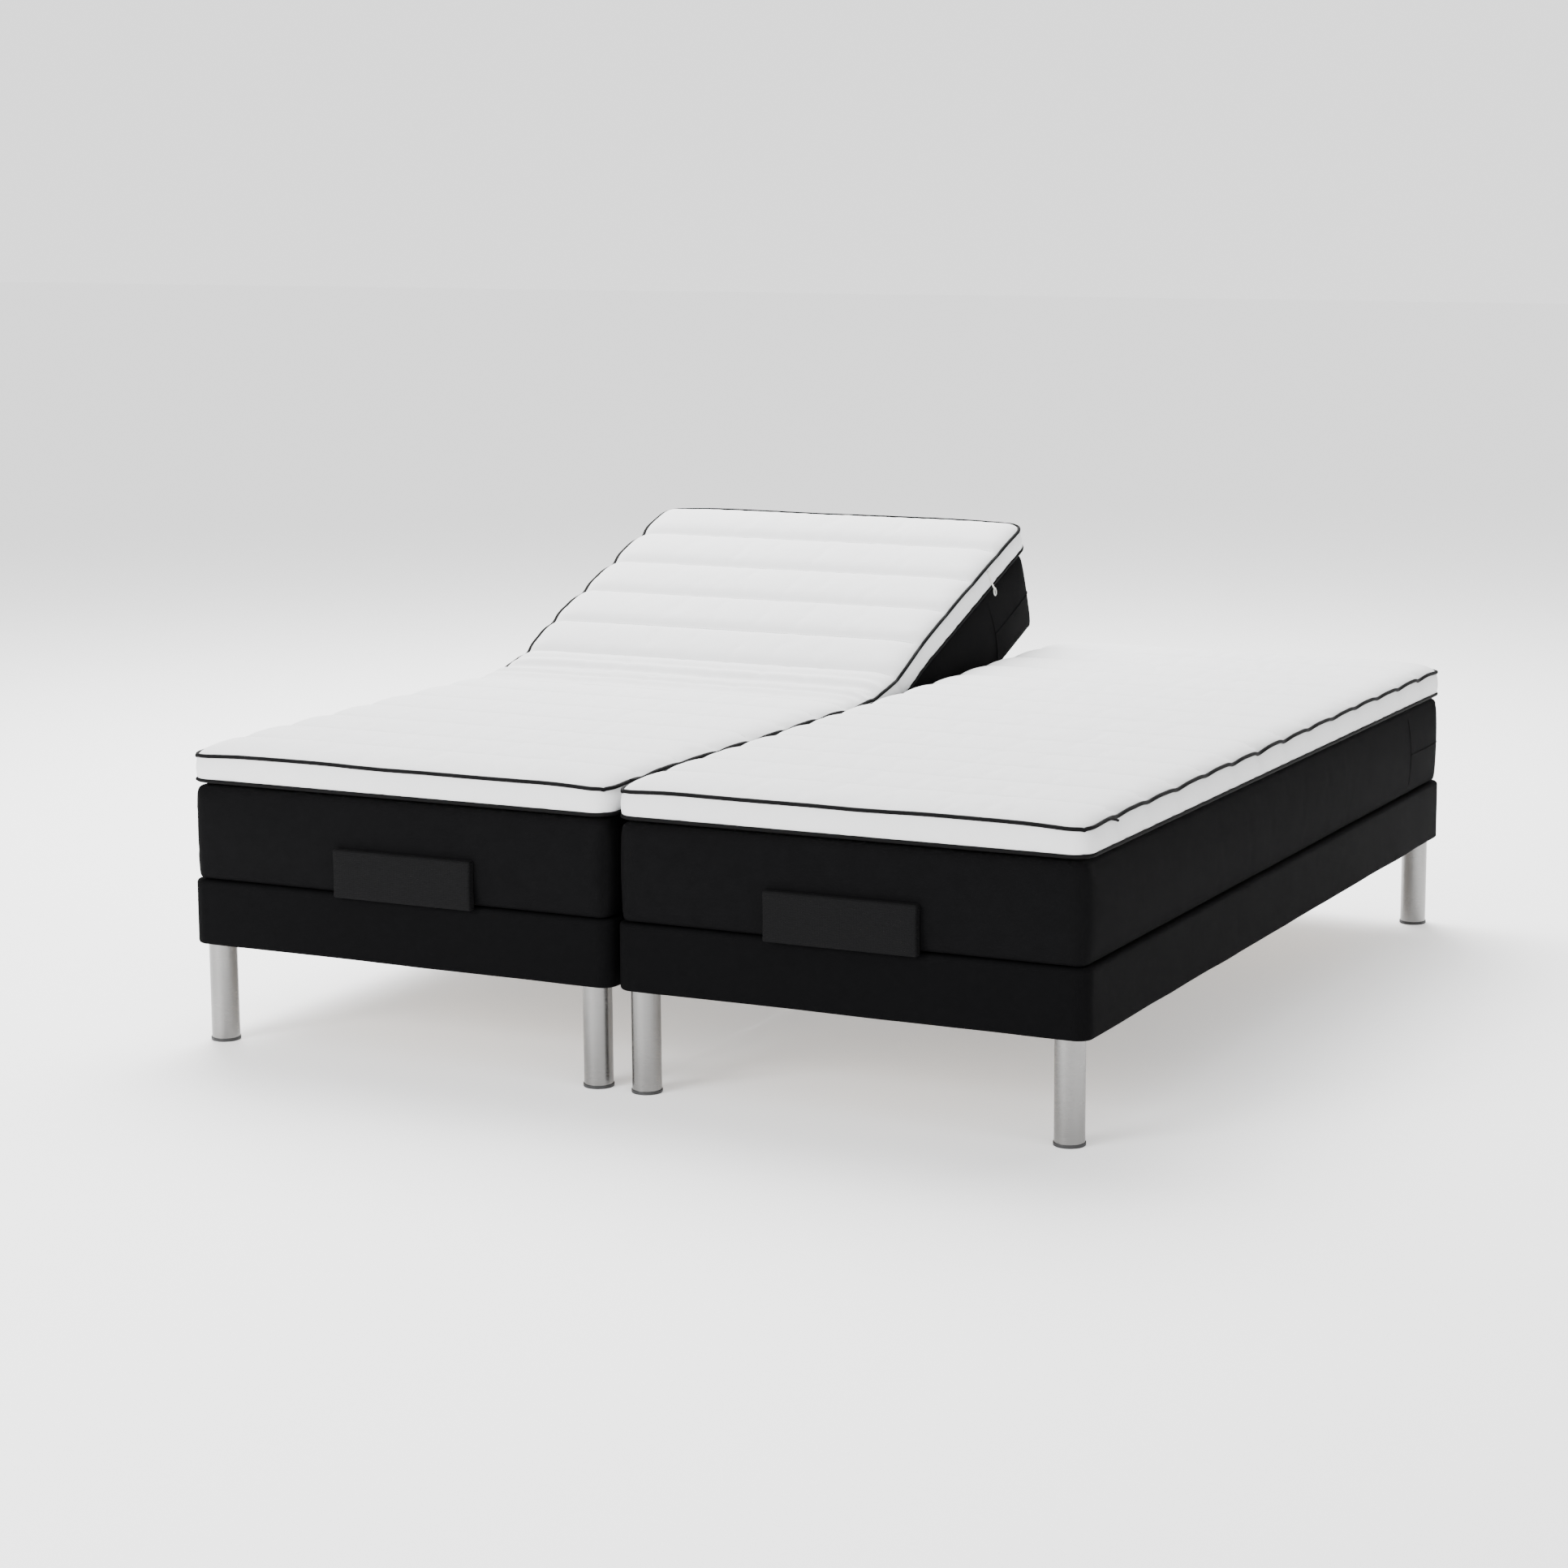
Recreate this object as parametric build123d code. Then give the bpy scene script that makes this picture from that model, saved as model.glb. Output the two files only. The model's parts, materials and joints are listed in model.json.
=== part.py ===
from build123d import *
import os
from math import asin, cos, degrees, radians, sin, tan

# Double adjustable bed: two single units side by side, linked into one double bed.
# +X is the bed's width, +Y runs from the foot to the head, +Z is up and the floor is z = 0.
# The left unit is stored with its back section raised; the right unit is flat.

# Driving dimensions, in mm
BED_LENGTH = 2000.0
UNIT_CENTRE_X = 452.0
BASE_WIDTH = 896.0
BASE_BOTTOM, BASE_TOP = 186.0, 310.0
MATTRESS_WIDTH, MATTRESS_TOP = 900.0, 490.0
TOPPER_WIDTH, TOPPER_LENGTH, TOPPER_TOP = 884.0, 1990.0, 566.0
PANEL_SIZE = (292.0, 18.0, 90.0)
PANEL_BOTTOM = 306.0
PANEL_OFF_CENTRE = {"left": 28.0, "right": 0.0}
CLEARANCE = 0.3

# Sections of the lying surface, from the head to the foot, and how far they tilt (degrees)
BACK_LENGTH, SEAT_LENGTH, THIGH_LENGTH = 850.0, 340.0, 310.0
HINGE_Z = 283.0
BACK_RISE, LEFT_BACK_AT_REST = 60.0, 20.5
THIGH_RISE = 30.0

# The foot panels stand out from the foot face, and the origin is the middle of the whole length
PANEL_GAP = 1.0
FOOT_Y = -(BED_LENGTH - PANEL_SIZE[1] - PANEL_GAP) / 2
HEAD_Y = FOOT_Y + BED_LENGTH
BACK_Y = HEAD_Y - BACK_LENGTH
THIGH_Y = BACK_Y - SEAT_LENGTH
KNEE_Y = THIGH_Y - THIGH_LENGTH

# Upholstered base: fabric cover over a timber box
COVER_THICKNESS, COVER_CORNER = 4.0, 28.0
RAIL_THICKNESS, CORNER_BLOCK = 22.0, 64.0
RAIL_BELOW, RAIL_ABOVE = 2.0, 4.0
LEG_RADIUS, LEG_SIDE_INSET, LEG_END_INSET = 26.5, 45.0, 34.0
LEG_WALL, LEG_PLATE = 2.0, 4.0
GLIDE_RADIUS, GLIDE_HEIGHT = 28.0, 6.0
BOLT_RADIUS, BOLT_RISE = 5.0, 60.0
LINK_PLATE, LINK_PLATE_INSET = (120.0, 40.0, 3.0), 300.0

# Steel mechanism: tubes of one size, pins, and slats on top
TUBE_WIDTH, TUBE_HEIGHT = 25.0, 30.0
TUBE_BOTTOM = HINGE_Z - TUBE_HEIGHT / 2
TUBE_TOP = HINGE_Z + TUBE_HEIGHT / 2
SIDE_TUBE_X = 377.5
CARRIER_X, CARRIER_THICKNESS = 404.0, 16.0
CARRIER_BOTTOM, CARRIER_PAST_HINGE = 226.0, 120.0
CARRIER_BLOCK, CARRIER_BLOCK_INSET, CARRIER_BLOCK_RISE = (60.0, 50.0), 60.0, 7.0
PIN_RADIUS, PIN_FIT = 6.0, 0.05
SLAT, SLAT_CORNER = (784.0, 70.0), 8.0
SLAT_TOP = BASE_TOP - CLEARANCE
SLAT_PITCH = 93.0
BACK_SLATS_START, FOOT_SLATS_START, SLATS_END = 45.0, 25.0, 10.0
KNEE_SLATS_GAP, THIGH_SLATS_GAP = 15.0, 20.0

# Cross tubes, measured from the hinge or the end that each is named after
SEAT_CROSS, THIGH_CROSS, KNEE_CROSS = 40.0, 30.0, 40.0
BACK_CROSS, SHOULDER_CROSS, HEAD_CROSS = 30.0, 480.0, 45.0
BACK_TUBE_END, CALF_TUBE_END, FOOT_CROSS = 30.0, 40.0, 55.0

# Lift tubes: each turns on the carriers and raises a section with two arms that end in nylon glides
LIFT_SETBACK, LIFT_DROP, LIFT_TUBE_RADIUS = 60.0, 40.0, 15.0
BACK_ARM, THIGH_ARM = 300.0, 200.0
GLIDE_PAD_RADIUS, PAD_CLEARANCE, PAD_LENGTH = 20.0, 0.4, 26.0
ARM_X, ARM_THICKNESS, ARM_HEIGHT = 134.0, 12.0, 24.0
PAD_X = 154.0

# Motor housing, its two motor cans and its hangers, and the control box on the head rail
HOUSING_WIDTH, HOUSING_CORNER, HOUSING_ABOVE_BASE, HOUSING_SETBACK = 124.0, 12.0, 6.0, 20.0
CAN_RADIUS, CAN_LENGTH, CAN_SPACING = 26.0, 76.0, 100.0
CAN_AXIS = BASE_BOTTOM + 34.0
HANGER_WIDTH, HANGER_LENGTH, HANGER_DROP = 80.0, 24.0, 4.0
CONTROL_BOX = (130.0, 55.0, 50.0)
CONTROL_BOX_X, CONTROL_BOX_BOTTOM, CONTROL_BOX_EDGE = 265.0, BASE_BOTTOM + 12.0, 5.0
INLET = (40.0, 24.0, 18.0)

# Soft parts
MATTRESS_CORNER, MATTRESS_EDGE = 22.0, 14.0
TOPPER_CORNER, TOPPER_EDGE = 35.0, 20.0
BACK_CUT = (20.0, 41.0)
THIGH_CUT = (15.0, 16.0)
KNEE_GAP = 0.6

SIDES = {"left": -1, "right": 1}


def placed(shape, x=0.0, y=0.0, z=0.0):
    return Pos(x, y, z) * shape


def block(x, y, z):
    """Box between the two values given for each axis."""
    size = (x[1] - x[0], y[1] - y[0], z[1] - z[0])
    centre = ((x[0] + x[1]) / 2, (y[0] + y[1]) / 2, (z[0] + z[1]) / 2)
    return Pos(*centre) * Box(*size)


def rod(radius, x, y, z):
    """Round bar along X between the two x values."""
    return Pos((x[0] + x[1]) / 2, y, z) * Rot(0, 90, 0) * Cylinder(radius, x[1] - x[0])


def turned(shape, y, z, angle):
    """Shape turned about the X-wise line through (y, z)."""
    return Pos(0, y, z) * Rot(angle, 0, 0) * Pos(0, -y, -z) * shape


def side_by_side(make):
    """The same piece at both mirrored places of one unit."""
    return make(-1) + make(1)


def group(*solids):
    return Compound(children=[piece for solid in solids for piece in solid.solids()])


def across_units(make):
    """A node that both units share: the piece of each unit in its place."""
    return group(*(placed(make(side), x=UNIT_CENTRE_X * SIDES[side]) for side in SIDES))


def pad_angle(tilt, arm):
    """Angle of a lift arm whose glide touches the underside of a section tilted by that much."""
    reach = PAD_CLEARANCE + GLIDE_PAD_RADIUS + TUBE_HEIGHT / 2
    a = radians(tilt)
    rise = (LIFT_SETBACK * sin(a) + LIFT_DROP * cos(a) - reach) / arm
    return tilt + degrees(asin(rise))


def arm_angle(tilt, full_tilt, arm):
    """Angle of that arm when it turns in a constant ratio to the section."""
    start = pad_angle(0, arm)
    return start + tilt * (pad_angle(full_tilt, arm) - start) / full_tilt


# ---- Upholstered base ----

def cover_shell():
    """Padded fabric skin: the outside wall of the base, softly rounded along its top edge."""
    height = BASE_TOP - BASE_BOTTOM
    middle = (FOOT_Y + HEAD_Y) / 2
    outer = extrude(RectangleRounded(BASE_WIDTH, BED_LENGTH, COVER_CORNER), height)
    outer = fillet(outer.edges().group_by(Axis.Z)[-1], COVER_THICKNESS - 0.5)
    inner_size = (BASE_WIDTH - 2 * COVER_THICKNESS, BED_LENGTH - 2 * COVER_THICKNESS)
    inner = extrude(RectangleRounded(*inner_size, COVER_CORNER - COVER_THICKNESS), height)
    return Pos(0, middle, BASE_BOTTOM) * (outer - inner)


def timber_box():
    """Side rails, end rails and corner blocks that carry the cover."""
    half_x = BASE_WIDTH / 2 - COVER_THICKNESS
    y = (FOOT_Y + COVER_THICKNESS, HEAD_Y - COVER_THICKNESS)
    z = (BASE_BOTTOM + RAIL_BELOW, BASE_TOP - RAIL_ABOVE)
    inset = COVER_CORNER - COVER_THICKNESS
    inner_x = half_x - RAIL_THICKNESS
    sides = side_by_side(lambda s: block(
        sorted((s * half_x, s * inner_x)), (y[0] + inset, y[1] - inset), z))
    ends = block((-half_x + inset, half_x - inset), (y[0], y[0] + RAIL_THICKNESS), z)
    ends = ends + block((-half_x + inset, half_x - inset), (y[1] - RAIL_THICKNESS, y[1]), z)
    size = CORNER_BLOCK
    blocks = []
    for sx in (-1, 1):
        for end, sy in ((y[0], 1), (y[1], -1)):
            corner = extrude(RectangleRounded(size, size, inset), TUBE_BOTTOM - HANGER_DROP - z[0])
            corner = Pos(sx * (half_x - size / 2), end + sy * size / 2, z[0]) * corner
            blocks.append(corner - sides - ends)
    return sides, ends, blocks


def leg_places():
    x = BASE_WIDTH / 2 - LEG_SIDE_INSET
    return [(sx * x, y) for sx in (-1, 1) for y in (FOOT_Y + LEG_END_INSET, HEAD_Y - LEG_END_INSET)]


def legs():
    """Steel tubes, closed at the top by a welded plate."""
    height = BASE_BOTTOM - GLIDE_HEIGHT
    tube = Pos(0, 0, GLIDE_HEIGHT + height / 2) * Cylinder(LEG_RADIUS, height)
    bore = Cylinder(LEG_RADIUS - LEG_WALL, height - LEG_PLATE)
    bore = Pos(0, 0, GLIDE_HEIGHT + (height - LEG_PLATE) / 2) * bore
    return [placed(tube - bore, x, y) for x, y in leg_places()]


def leg_glides():
    disc = Cylinder(GLIDE_RADIUS, GLIDE_HEIGHT)
    disc = Pos(0, 0, GLIDE_HEIGHT / 2) * chamfer(disc.edges().group_by(Axis.Z)[0], 1.0)
    return [placed(disc, x, y) for x, y in leg_places()]


def leg_bolts():
    """Threaded studs from each leg up into its corner block."""
    stud = Pos(0, 0, BASE_BOTTOM + BOLT_RISE / 2) * Cylinder(BOLT_RADIUS, BOLT_RISE)
    return [placed(stud, x, y) for x, y in leg_places()]


def link_plates():
    """Flat plates under the inner rails that hold the two units together."""
    x, y, z = LINK_PLATE
    plate = Pos(0, 0, BASE_BOTTOM - z / 2) * Box(x, y, z)
    return [placed(plate, y=at) for at in (FOOT_Y + LINK_PLATE_INSET, HEAD_Y - LINK_PLATE_INSET)]


# ---- Steel mechanism ----

def tube_x(x, y):
    """Cross tube between the side tubes, centred at y."""
    return block((-x, x), (y - TUBE_WIDTH / 2, y + TUBE_WIDTH / 2), (TUBE_BOTTOM, TUBE_TOP))


def tube_y(x, y):
    """Lengthwise tube at x, between the two y values."""
    return block((x - TUBE_WIDTH / 2, x + TUBE_WIDTH / 2), sorted(y), (TUBE_BOTTOM, TUBE_TOP))


def hinged_side(side, hinge_y, end_y):
    """Lengthwise side tube with a round, bored end on the hinge pin."""
    bar = tube_y(side * SIDE_TUBE_X, (hinge_y, end_y))
    x = (side * SIDE_TUBE_X - TUBE_WIDTH / 2, side * SIDE_TUBE_X + TUBE_WIDTH / 2)
    bar = bar + rod(TUBE_HEIGHT / 2, x, hinge_y, HINGE_Z)
    return bar - rod(PIN_RADIUS + PIN_FIT, x, hinge_y, HINGE_Z)


INNER_X = SIDE_TUBE_X - TUBE_WIDTH / 2


def carrier(side):
    """Upright plate inside the timber rail, with bores for hinge pins and lift tubes."""
    x = sorted((side * (CARRIER_X - CARRIER_THICKNESS / 2), side * (CARRIER_X + CARRIER_THICKNESS / 2)))
    y = (THIGH_Y - CARRIER_PAST_HINGE, BACK_Y + CARRIER_PAST_HINGE)
    plate = block(x, y, (CARRIER_BOTTOM, TUBE_TOP))
    for y in (BACK_Y, THIGH_Y):
        plate = plate - rod(PIN_RADIUS + PIN_FIT, x, y, HINGE_Z)
    for y in (BACK_Y + LIFT_SETBACK, THIGH_Y - LIFT_SETBACK):
        plate = plate - rod(LIFT_TUBE_RADIUS + PIN_FIT, x, y, HINGE_Z - LIFT_DROP)
    return plate


def mechanism_frame():
    """Fixed frame: two carriers, two cross tubes and the tubes under the seat slats."""
    cross_y = (THIGH_Y + SEAT_CROSS, BACK_Y - SEAT_CROSS)
    reach = CARRIER_X - CARRIER_THICKNESS / 2
    crosses = [tube_x(reach, y) for y in cross_y]
    between = (cross_y[0] + TUBE_WIDTH / 2, cross_y[1] - TUBE_WIDTH / 2)
    seat_tubes = [tube_y(side * SIDE_TUBE_X, between) for side in (-1, 1)]
    return [carrier(-1), carrier(1)] + crosses + seat_tubes


def carrier_blocks():
    """Packing pieces that fasten the carriers to the timber side rails."""
    inner = BASE_WIDTH / 2 - COVER_THICKNESS - RAIL_THICKNESS
    outer = CARRIER_X + CARRIER_THICKNESS / 2
    half, height = CARRIER_BLOCK[0] / 2, CARRIER_BLOCK[1]
    z = (HINGE_Z - height + CARRIER_BLOCK_RISE, HINGE_Z + CARRIER_BLOCK_RISE)
    pieces = []
    for side in (-1, 1):
        x = sorted((side * inner, side * outer))
        for y in (THIGH_Y + CARRIER_BLOCK_INSET, BACK_Y - CARRIER_BLOCK_INSET):
            pieces.append(block(x, (y - half, y + half), z))
    return pieces


def hinge_pins():
    x = (SIDE_TUBE_X - TUBE_WIDTH / 2, CARRIER_X + CARRIER_THICKNESS / 2)
    pins = []
    for y in (BACK_Y, THIGH_Y):
        pins += [rod(PIN_RADIUS, x, y, HINGE_Z), rod(PIN_RADIUS, (-x[1], -x[0]), y, HINGE_Z)]
    return pins


def slat_row(start, end):
    """Bent laminated slats spread evenly between the two ends."""
    count = int((end - start - SLAT[1]) // SLAT_PITCH) + 1
    first = (start + end - (count - 1) * SLAT_PITCH) / 2
    half = SLAT[1] / 2
    z = (TUBE_TOP, SLAT_TOP)
    x = (-SLAT[0] / 2, SLAT[0] / 2)
    rows = [first + i * SLAT_PITCH for i in range(count)]
    plain = [block(x, (y - half, y + half), z) for y in rows]
    return [fillet(slat.edges().filter_by(Axis.Z), SLAT_CORNER) for slat in plain]


def back_frame():
    """Back section: hinged side tubes, cross tubes and the rails that the lift arms push on."""
    crosses = (BACK_Y + BACK_CROSS, BACK_Y + SHOULDER_CROSS, HEAD_Y - HEAD_CROSS)
    rails = (crosses[0] + TUBE_WIDTH / 2, crosses[1] - TUBE_WIDTH / 2)
    pieces = [hinged_side(side, BACK_Y, HEAD_Y - BACK_TUBE_END) for side in (-1, 1)]
    pieces += [tube_x(INNER_X, y) for y in crosses]
    return pieces + [tube_y(side * PAD_X, rails) for side in (-1, 1)]


def thigh_frame():
    """Thigh section: its side tubes carry the knee pins at their far ends."""
    crosses = (THIGH_Y - THIGH_CROSS, KNEE_Y + KNEE_CROSS)
    rails = (crosses[0] - TUBE_WIDTH / 2, crosses[1] + TUBE_WIDTH / 2)
    pieces = []
    for side in (-1, 1):
        x = (side * SIDE_TUBE_X - TUBE_WIDTH / 2, side * SIDE_TUBE_X + TUBE_WIDTH / 2)
        bar = hinged_side(side, THIGH_Y, KNEE_Y) + rod(TUBE_HEIGHT / 2, x, KNEE_Y, HINGE_Z)
        pieces.append(bar - rod(PIN_RADIUS + PIN_FIT, x, KNEE_Y, HINGE_Z))
    pieces += [tube_x(INNER_X, y) for y in crosses]
    return pieces + [tube_y(side * PAD_X, rails) for side in (-1, 1)]


KNEE_EAR_X = SIDE_TUBE_X - TUBE_WIDTH - 0.5


def calf_frame():
    """Calf section: side tubes set inside the thigh's, hinged to them at the knee."""
    pieces = []
    for side in (-1, 1):
        x = (side * KNEE_EAR_X - TUBE_WIDTH / 2, side * KNEE_EAR_X + TUBE_WIDTH / 2)
        bar = tube_y(side * KNEE_EAR_X, (KNEE_Y, FOOT_Y + CALF_TUBE_END))
        bar = bar + rod(TUBE_HEIGHT / 2, x, KNEE_Y, HINGE_Z)
        pieces.append(bar - rod(PIN_RADIUS + PIN_FIT, x, KNEE_Y, HINGE_Z))
    inner = KNEE_EAR_X - TUBE_WIDTH / 2
    return pieces + [tube_x(inner, y) for y in (KNEE_Y - KNEE_CROSS, FOOT_Y + FOOT_CROSS)]


def knee_pins():
    x = (KNEE_EAR_X - TUBE_WIDTH / 2, SIDE_TUBE_X + TUBE_WIDTH / 2)
    return [rod(PIN_RADIUS, x, KNEE_Y, HINGE_Z), rod(PIN_RADIUS, (-x[1], -x[0]), KNEE_Y, HINGE_Z)]


def lift_shaft(y):
    """Lift tube, running in the carriers."""
    reach = CARRIER_X + CARRIER_THICKNESS / 2 - 1
    return rod(LIFT_TUBE_RADIUS, (-reach, reach), y, HINGE_Z - LIFT_DROP)


def lift_arms(y, arm, angle, towards):
    """Lift tube with two flat arms; towards is 1 for arms that point to the head, -1 to the foot."""
    z = HINGE_Z - LIFT_DROP
    shaft = lift_shaft(y)
    far = y + towards * arm
    solids = shaft
    for side in (-1, 1):
        x = sorted((side * (ARM_X - ARM_THICKNESS / 2), side * (ARM_X + ARM_THICKNESS / 2)))
        bar = block(x, sorted((y, far)), (z - ARM_HEIGHT / 2, z + ARM_HEIGHT / 2))
        bar = bar + rod(ARM_HEIGHT / 2, x, far, z)
        solids = solids + turned(bar, y, z, towards * angle)
    return solids


def lift_pads(y, arm, angle, towards):
    """Nylon glides at the arm ends, on the outer side of each arm."""
    z = HINGE_Z - LIFT_DROP
    pads = []
    for side in (-1, 1):
        inner = ARM_X + ARM_THICKNESS / 2
        x = sorted((side * inner, side * (inner + PAD_LENGTH)))
        pads.append(turned(rod(GLIDE_PAD_RADIUS, x, y + towards * arm, z), y, z, towards * angle))
    return pads


def motor_unit():
    """Twin-motor housing hung under the seat frame, with a motor can on each side of its middle."""
    hanger_z = (TUBE_BOTTOM - HANGER_DROP, TUBE_BOTTOM)
    y = (THIGH_Y - HOUSING_SETBACK, BACK_Y + HOUSING_SETBACK)
    half = HOUSING_WIDTH / 2
    housing = block((-half, half), y, (BASE_BOTTOM + HOUSING_ABOVE_BASE, hanger_z[0]))
    housing = fillet(housing.edges().filter_by(Axis.Z), HOUSING_CORNER)
    middle = (y[0] + y[1]) / 2
    can = Rot(0, 90, 0) * Cylinder(CAN_RADIUS, CAN_LENGTH)
    can_x, can_y = half + CAN_LENGTH / 2, CAN_SPACING / 2
    cans = [placed(can, way * can_x, middle + way * can_y, CAN_AXIS) for way in (1, -1)]
    hanger_x = (-HANGER_WIDTH / 2, HANGER_WIDTH / 2)
    hangers = [block(hanger_x, (at - HANGER_LENGTH / 2, at + HANGER_LENGTH / 2), hanger_z)
               for at in (THIGH_Y + SEAT_CROSS, BACK_Y - SEAT_CROSS)]
    return [housing] + cans + hangers


def control_box():
    """Motor control box on the inside of the head rail, with its mains inlet facing down."""
    rail = HEAD_Y - COVER_THICKNESS - RAIL_THICKNESS
    width, depth, height = CONTROL_BOX
    body = Pos(CONTROL_BOX_X, rail - depth / 2, CONTROL_BOX_BOTTOM + height / 2) * Box(width, depth, height)
    body = fillet(body.edges().filter_by(Axis.Y), CONTROL_BOX_EDGE)
    inlet = Box(*INLET)
    return body - Pos(CONTROL_BOX_X, rail - depth / 2, CONTROL_BOX_BOTTOM + INLET[2] / 2) * inlet


# ---- Mattress and topper ----

def slab(width, y, z, corner, edge):
    """Flat rectangular pad with rounded corners and edges."""
    height = z[1] - z[0]
    body = extrude(RectangleRounded(width, y[1] - y[0], corner), height)
    body = fillet(body.edges().group_by(Axis.Z)[-1] + body.edges().group_by(Axis.Z)[0], edge)
    return Pos(0, (y[0] + y[1]) / 2, z[0]) * body


def prism(width, points):
    """Solid across the whole width with the given outline of (y, z) points."""
    face = make_face(Polyline(*[(0, y, z) for y, z in points], close=True))
    return Pos(-width / 2, 0, 0) * extrude(face, width, dir=(1, 0, 0))


def cut_line(hinge_y, angle, z):
    """The y of a cut through the hinge line that leans by angle towards the head, at height z."""
    return hinge_y + (z - HINGE_Z) * tan(radians(angle))


def section(pad, z, foot_cut, head_cut):
    """Slice of a pad between two leaning cuts, each a hinge's y and its lean."""
    low, high = z[0] - 5, z[1] + 5
    outline = [
        (cut_line(*foot_cut, low), low),
        (cut_line(*head_cut, low), low),
        (cut_line(*head_cut, high), high),
        (cut_line(*foot_cut, high), high),
    ]
    return pad & prism(MATTRESS_WIDTH + 10, outline)


def pad_sections(pad, z, back_tilt):
    """Head, seat, thigh and calf slices of one pad, with the head slice raised by back_tilt."""
    foot_end, head_end = (FOOT_Y - 50, 0), (HEAD_Y + 50, 0)
    head = section(pad, z, (BACK_Y, BACK_CUT[1]), head_end)
    seat = section(pad, z, (THIGH_Y, THIGH_CUT[0]), (BACK_Y, -BACK_CUT[0]))
    thigh = section(pad, z, (KNEE_Y, 0), (THIGH_Y, -THIGH_CUT[1]))
    calf = section(pad, z, foot_end, (KNEE_Y - KNEE_GAP, 0))
    return {
        "head": turned(head, BACK_Y, HINGE_Z, back_tilt),
        "seat": seat,
        "thigh": thigh,
        "calf": calf,
    }


def fold(width, z, hinge_y, lean_foot, lean_head, tilt):
    """Soft filler of the wedge over a hinge, between the two cuts that face each other."""
    gap = 0.5
    corners = []
    for height in z:
        corners.append((cut_line(hinge_y, lean_foot, height) + gap, height))
    for height in reversed(z):
        y, up = cut_line(hinge_y, lean_head, height) - hinge_y - gap, height - HINGE_Z
        a = radians(tilt)
        corners.append((hinge_y + y * cos(a) - up * sin(a), HINGE_Z + y * sin(a) + up * cos(a)))
    return prism(width, corners)


def folds(width, z, back_tilt):
    back = fold(width, z, BACK_Y, -BACK_CUT[0], BACK_CUT[1], back_tilt)
    thigh = fold(width, z, THIGH_Y, -THIGH_CUT[1], THIGH_CUT[0], 0)
    return [back, thigh]


def retainer_panel(side):
    """Upholstered board on the calf section that keeps the mattress from sliding off the foot."""
    x, y, z = PANEL_SIZE
    board = fillet(Box(x, y, z).edges().filter_by(Axis.X), 4)
    back_face = FOOT_Y - PANEL_GAP
    return placed(board, PANEL_OFF_CENTRE[side], back_face - y / 2, PANEL_BOTTOM + z / 2)


# ---- Assembly ----

MATTRESS_Z = (BASE_TOP, MATTRESS_TOP)
TOPPER_Z = (MATTRESS_TOP + CLEARANCE, TOPPER_TOP)
BACK_TILTS = {"left": LEFT_BACK_AT_REST, "right": 0.0}
BACK_LIFT_Y = BACK_Y + LIFT_SETBACK
THIGH_LIFT_Y = THIGH_Y - LIFT_SETBACK


def unit_nodes(side):
    """Every node that belongs to one unit, by name."""
    tilt = BACK_TILTS[side]
    mattress = slab(MATTRESS_WIDTH, (FOOT_Y, HEAD_Y), MATTRESS_Z, MATTRESS_CORNER, MATTRESS_EDGE)
    inset = (BED_LENGTH - TOPPER_LENGTH) / 2
    topper = slab(TOPPER_WIDTH, (FOOT_Y + inset, HEAD_Y - inset), TOPPER_Z, TOPPER_CORNER, TOPPER_EDGE)
    back_angle = arm_angle(tilt, BACK_RISE, BACK_ARM)
    thigh_angle = arm_angle(0, THIGH_RISE, THIGH_ARM)
    raised = [turned(piece, BACK_Y, HINGE_Z, tilt) for piece in back_frame()]
    back_slats = slat_row(BACK_Y + BACK_SLATS_START, HEAD_Y - SLATS_END)
    back_slats = [turned(slat, BACK_Y, HINGE_Z, tilt) for slat in back_slats]
    nodes = {
        "legs": legs(),
        "base_cover": [cover_shell()],
        "mechanism_frame": mechanism_frame(),
        "motor_unit": motor_unit(),
        "back_frame": raised,
        "back_slats": back_slats,
        "thigh_frame": thigh_frame(),
        "thigh_slats": slat_row(KNEE_Y + KNEE_SLATS_GAP, THIGH_Y - THIGH_SLATS_GAP),
        "knee_pins": knee_pins(),
        "calf_frame": calf_frame(),
        "calf_slats": slat_row(FOOT_Y + FOOT_SLATS_START, KNEE_Y - KNEE_SLATS_GAP),
        "retainer_panel": [retainer_panel(side)],
        "back_lift": [lift_arms(BACK_LIFT_Y, BACK_ARM, back_angle, 1)],
        "back_lift_pads": lift_pads(BACK_LIFT_Y, BACK_ARM, back_angle, 1),
        "leg_lift": [lift_arms(THIGH_LIFT_Y, THIGH_ARM, thigh_angle, -1)],
        "leg_lift_pads": lift_pads(THIGH_LIFT_Y, THIGH_ARM, thigh_angle, -1),
    }
    for name, pad, z in (("mattress", mattress, MATTRESS_Z), ("topper", topper, TOPPER_Z)):
        for place, slice_ in pad_sections(pad, z, tilt).items():
            nodes[f"{name}_{place}"] = [slice_]
    x = UNIT_CENTRE_X * SIDES[side]
    return {f"{side}_{name}": [placed(s, x=x) for s in solids] for name, solids in nodes.items()}


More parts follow.
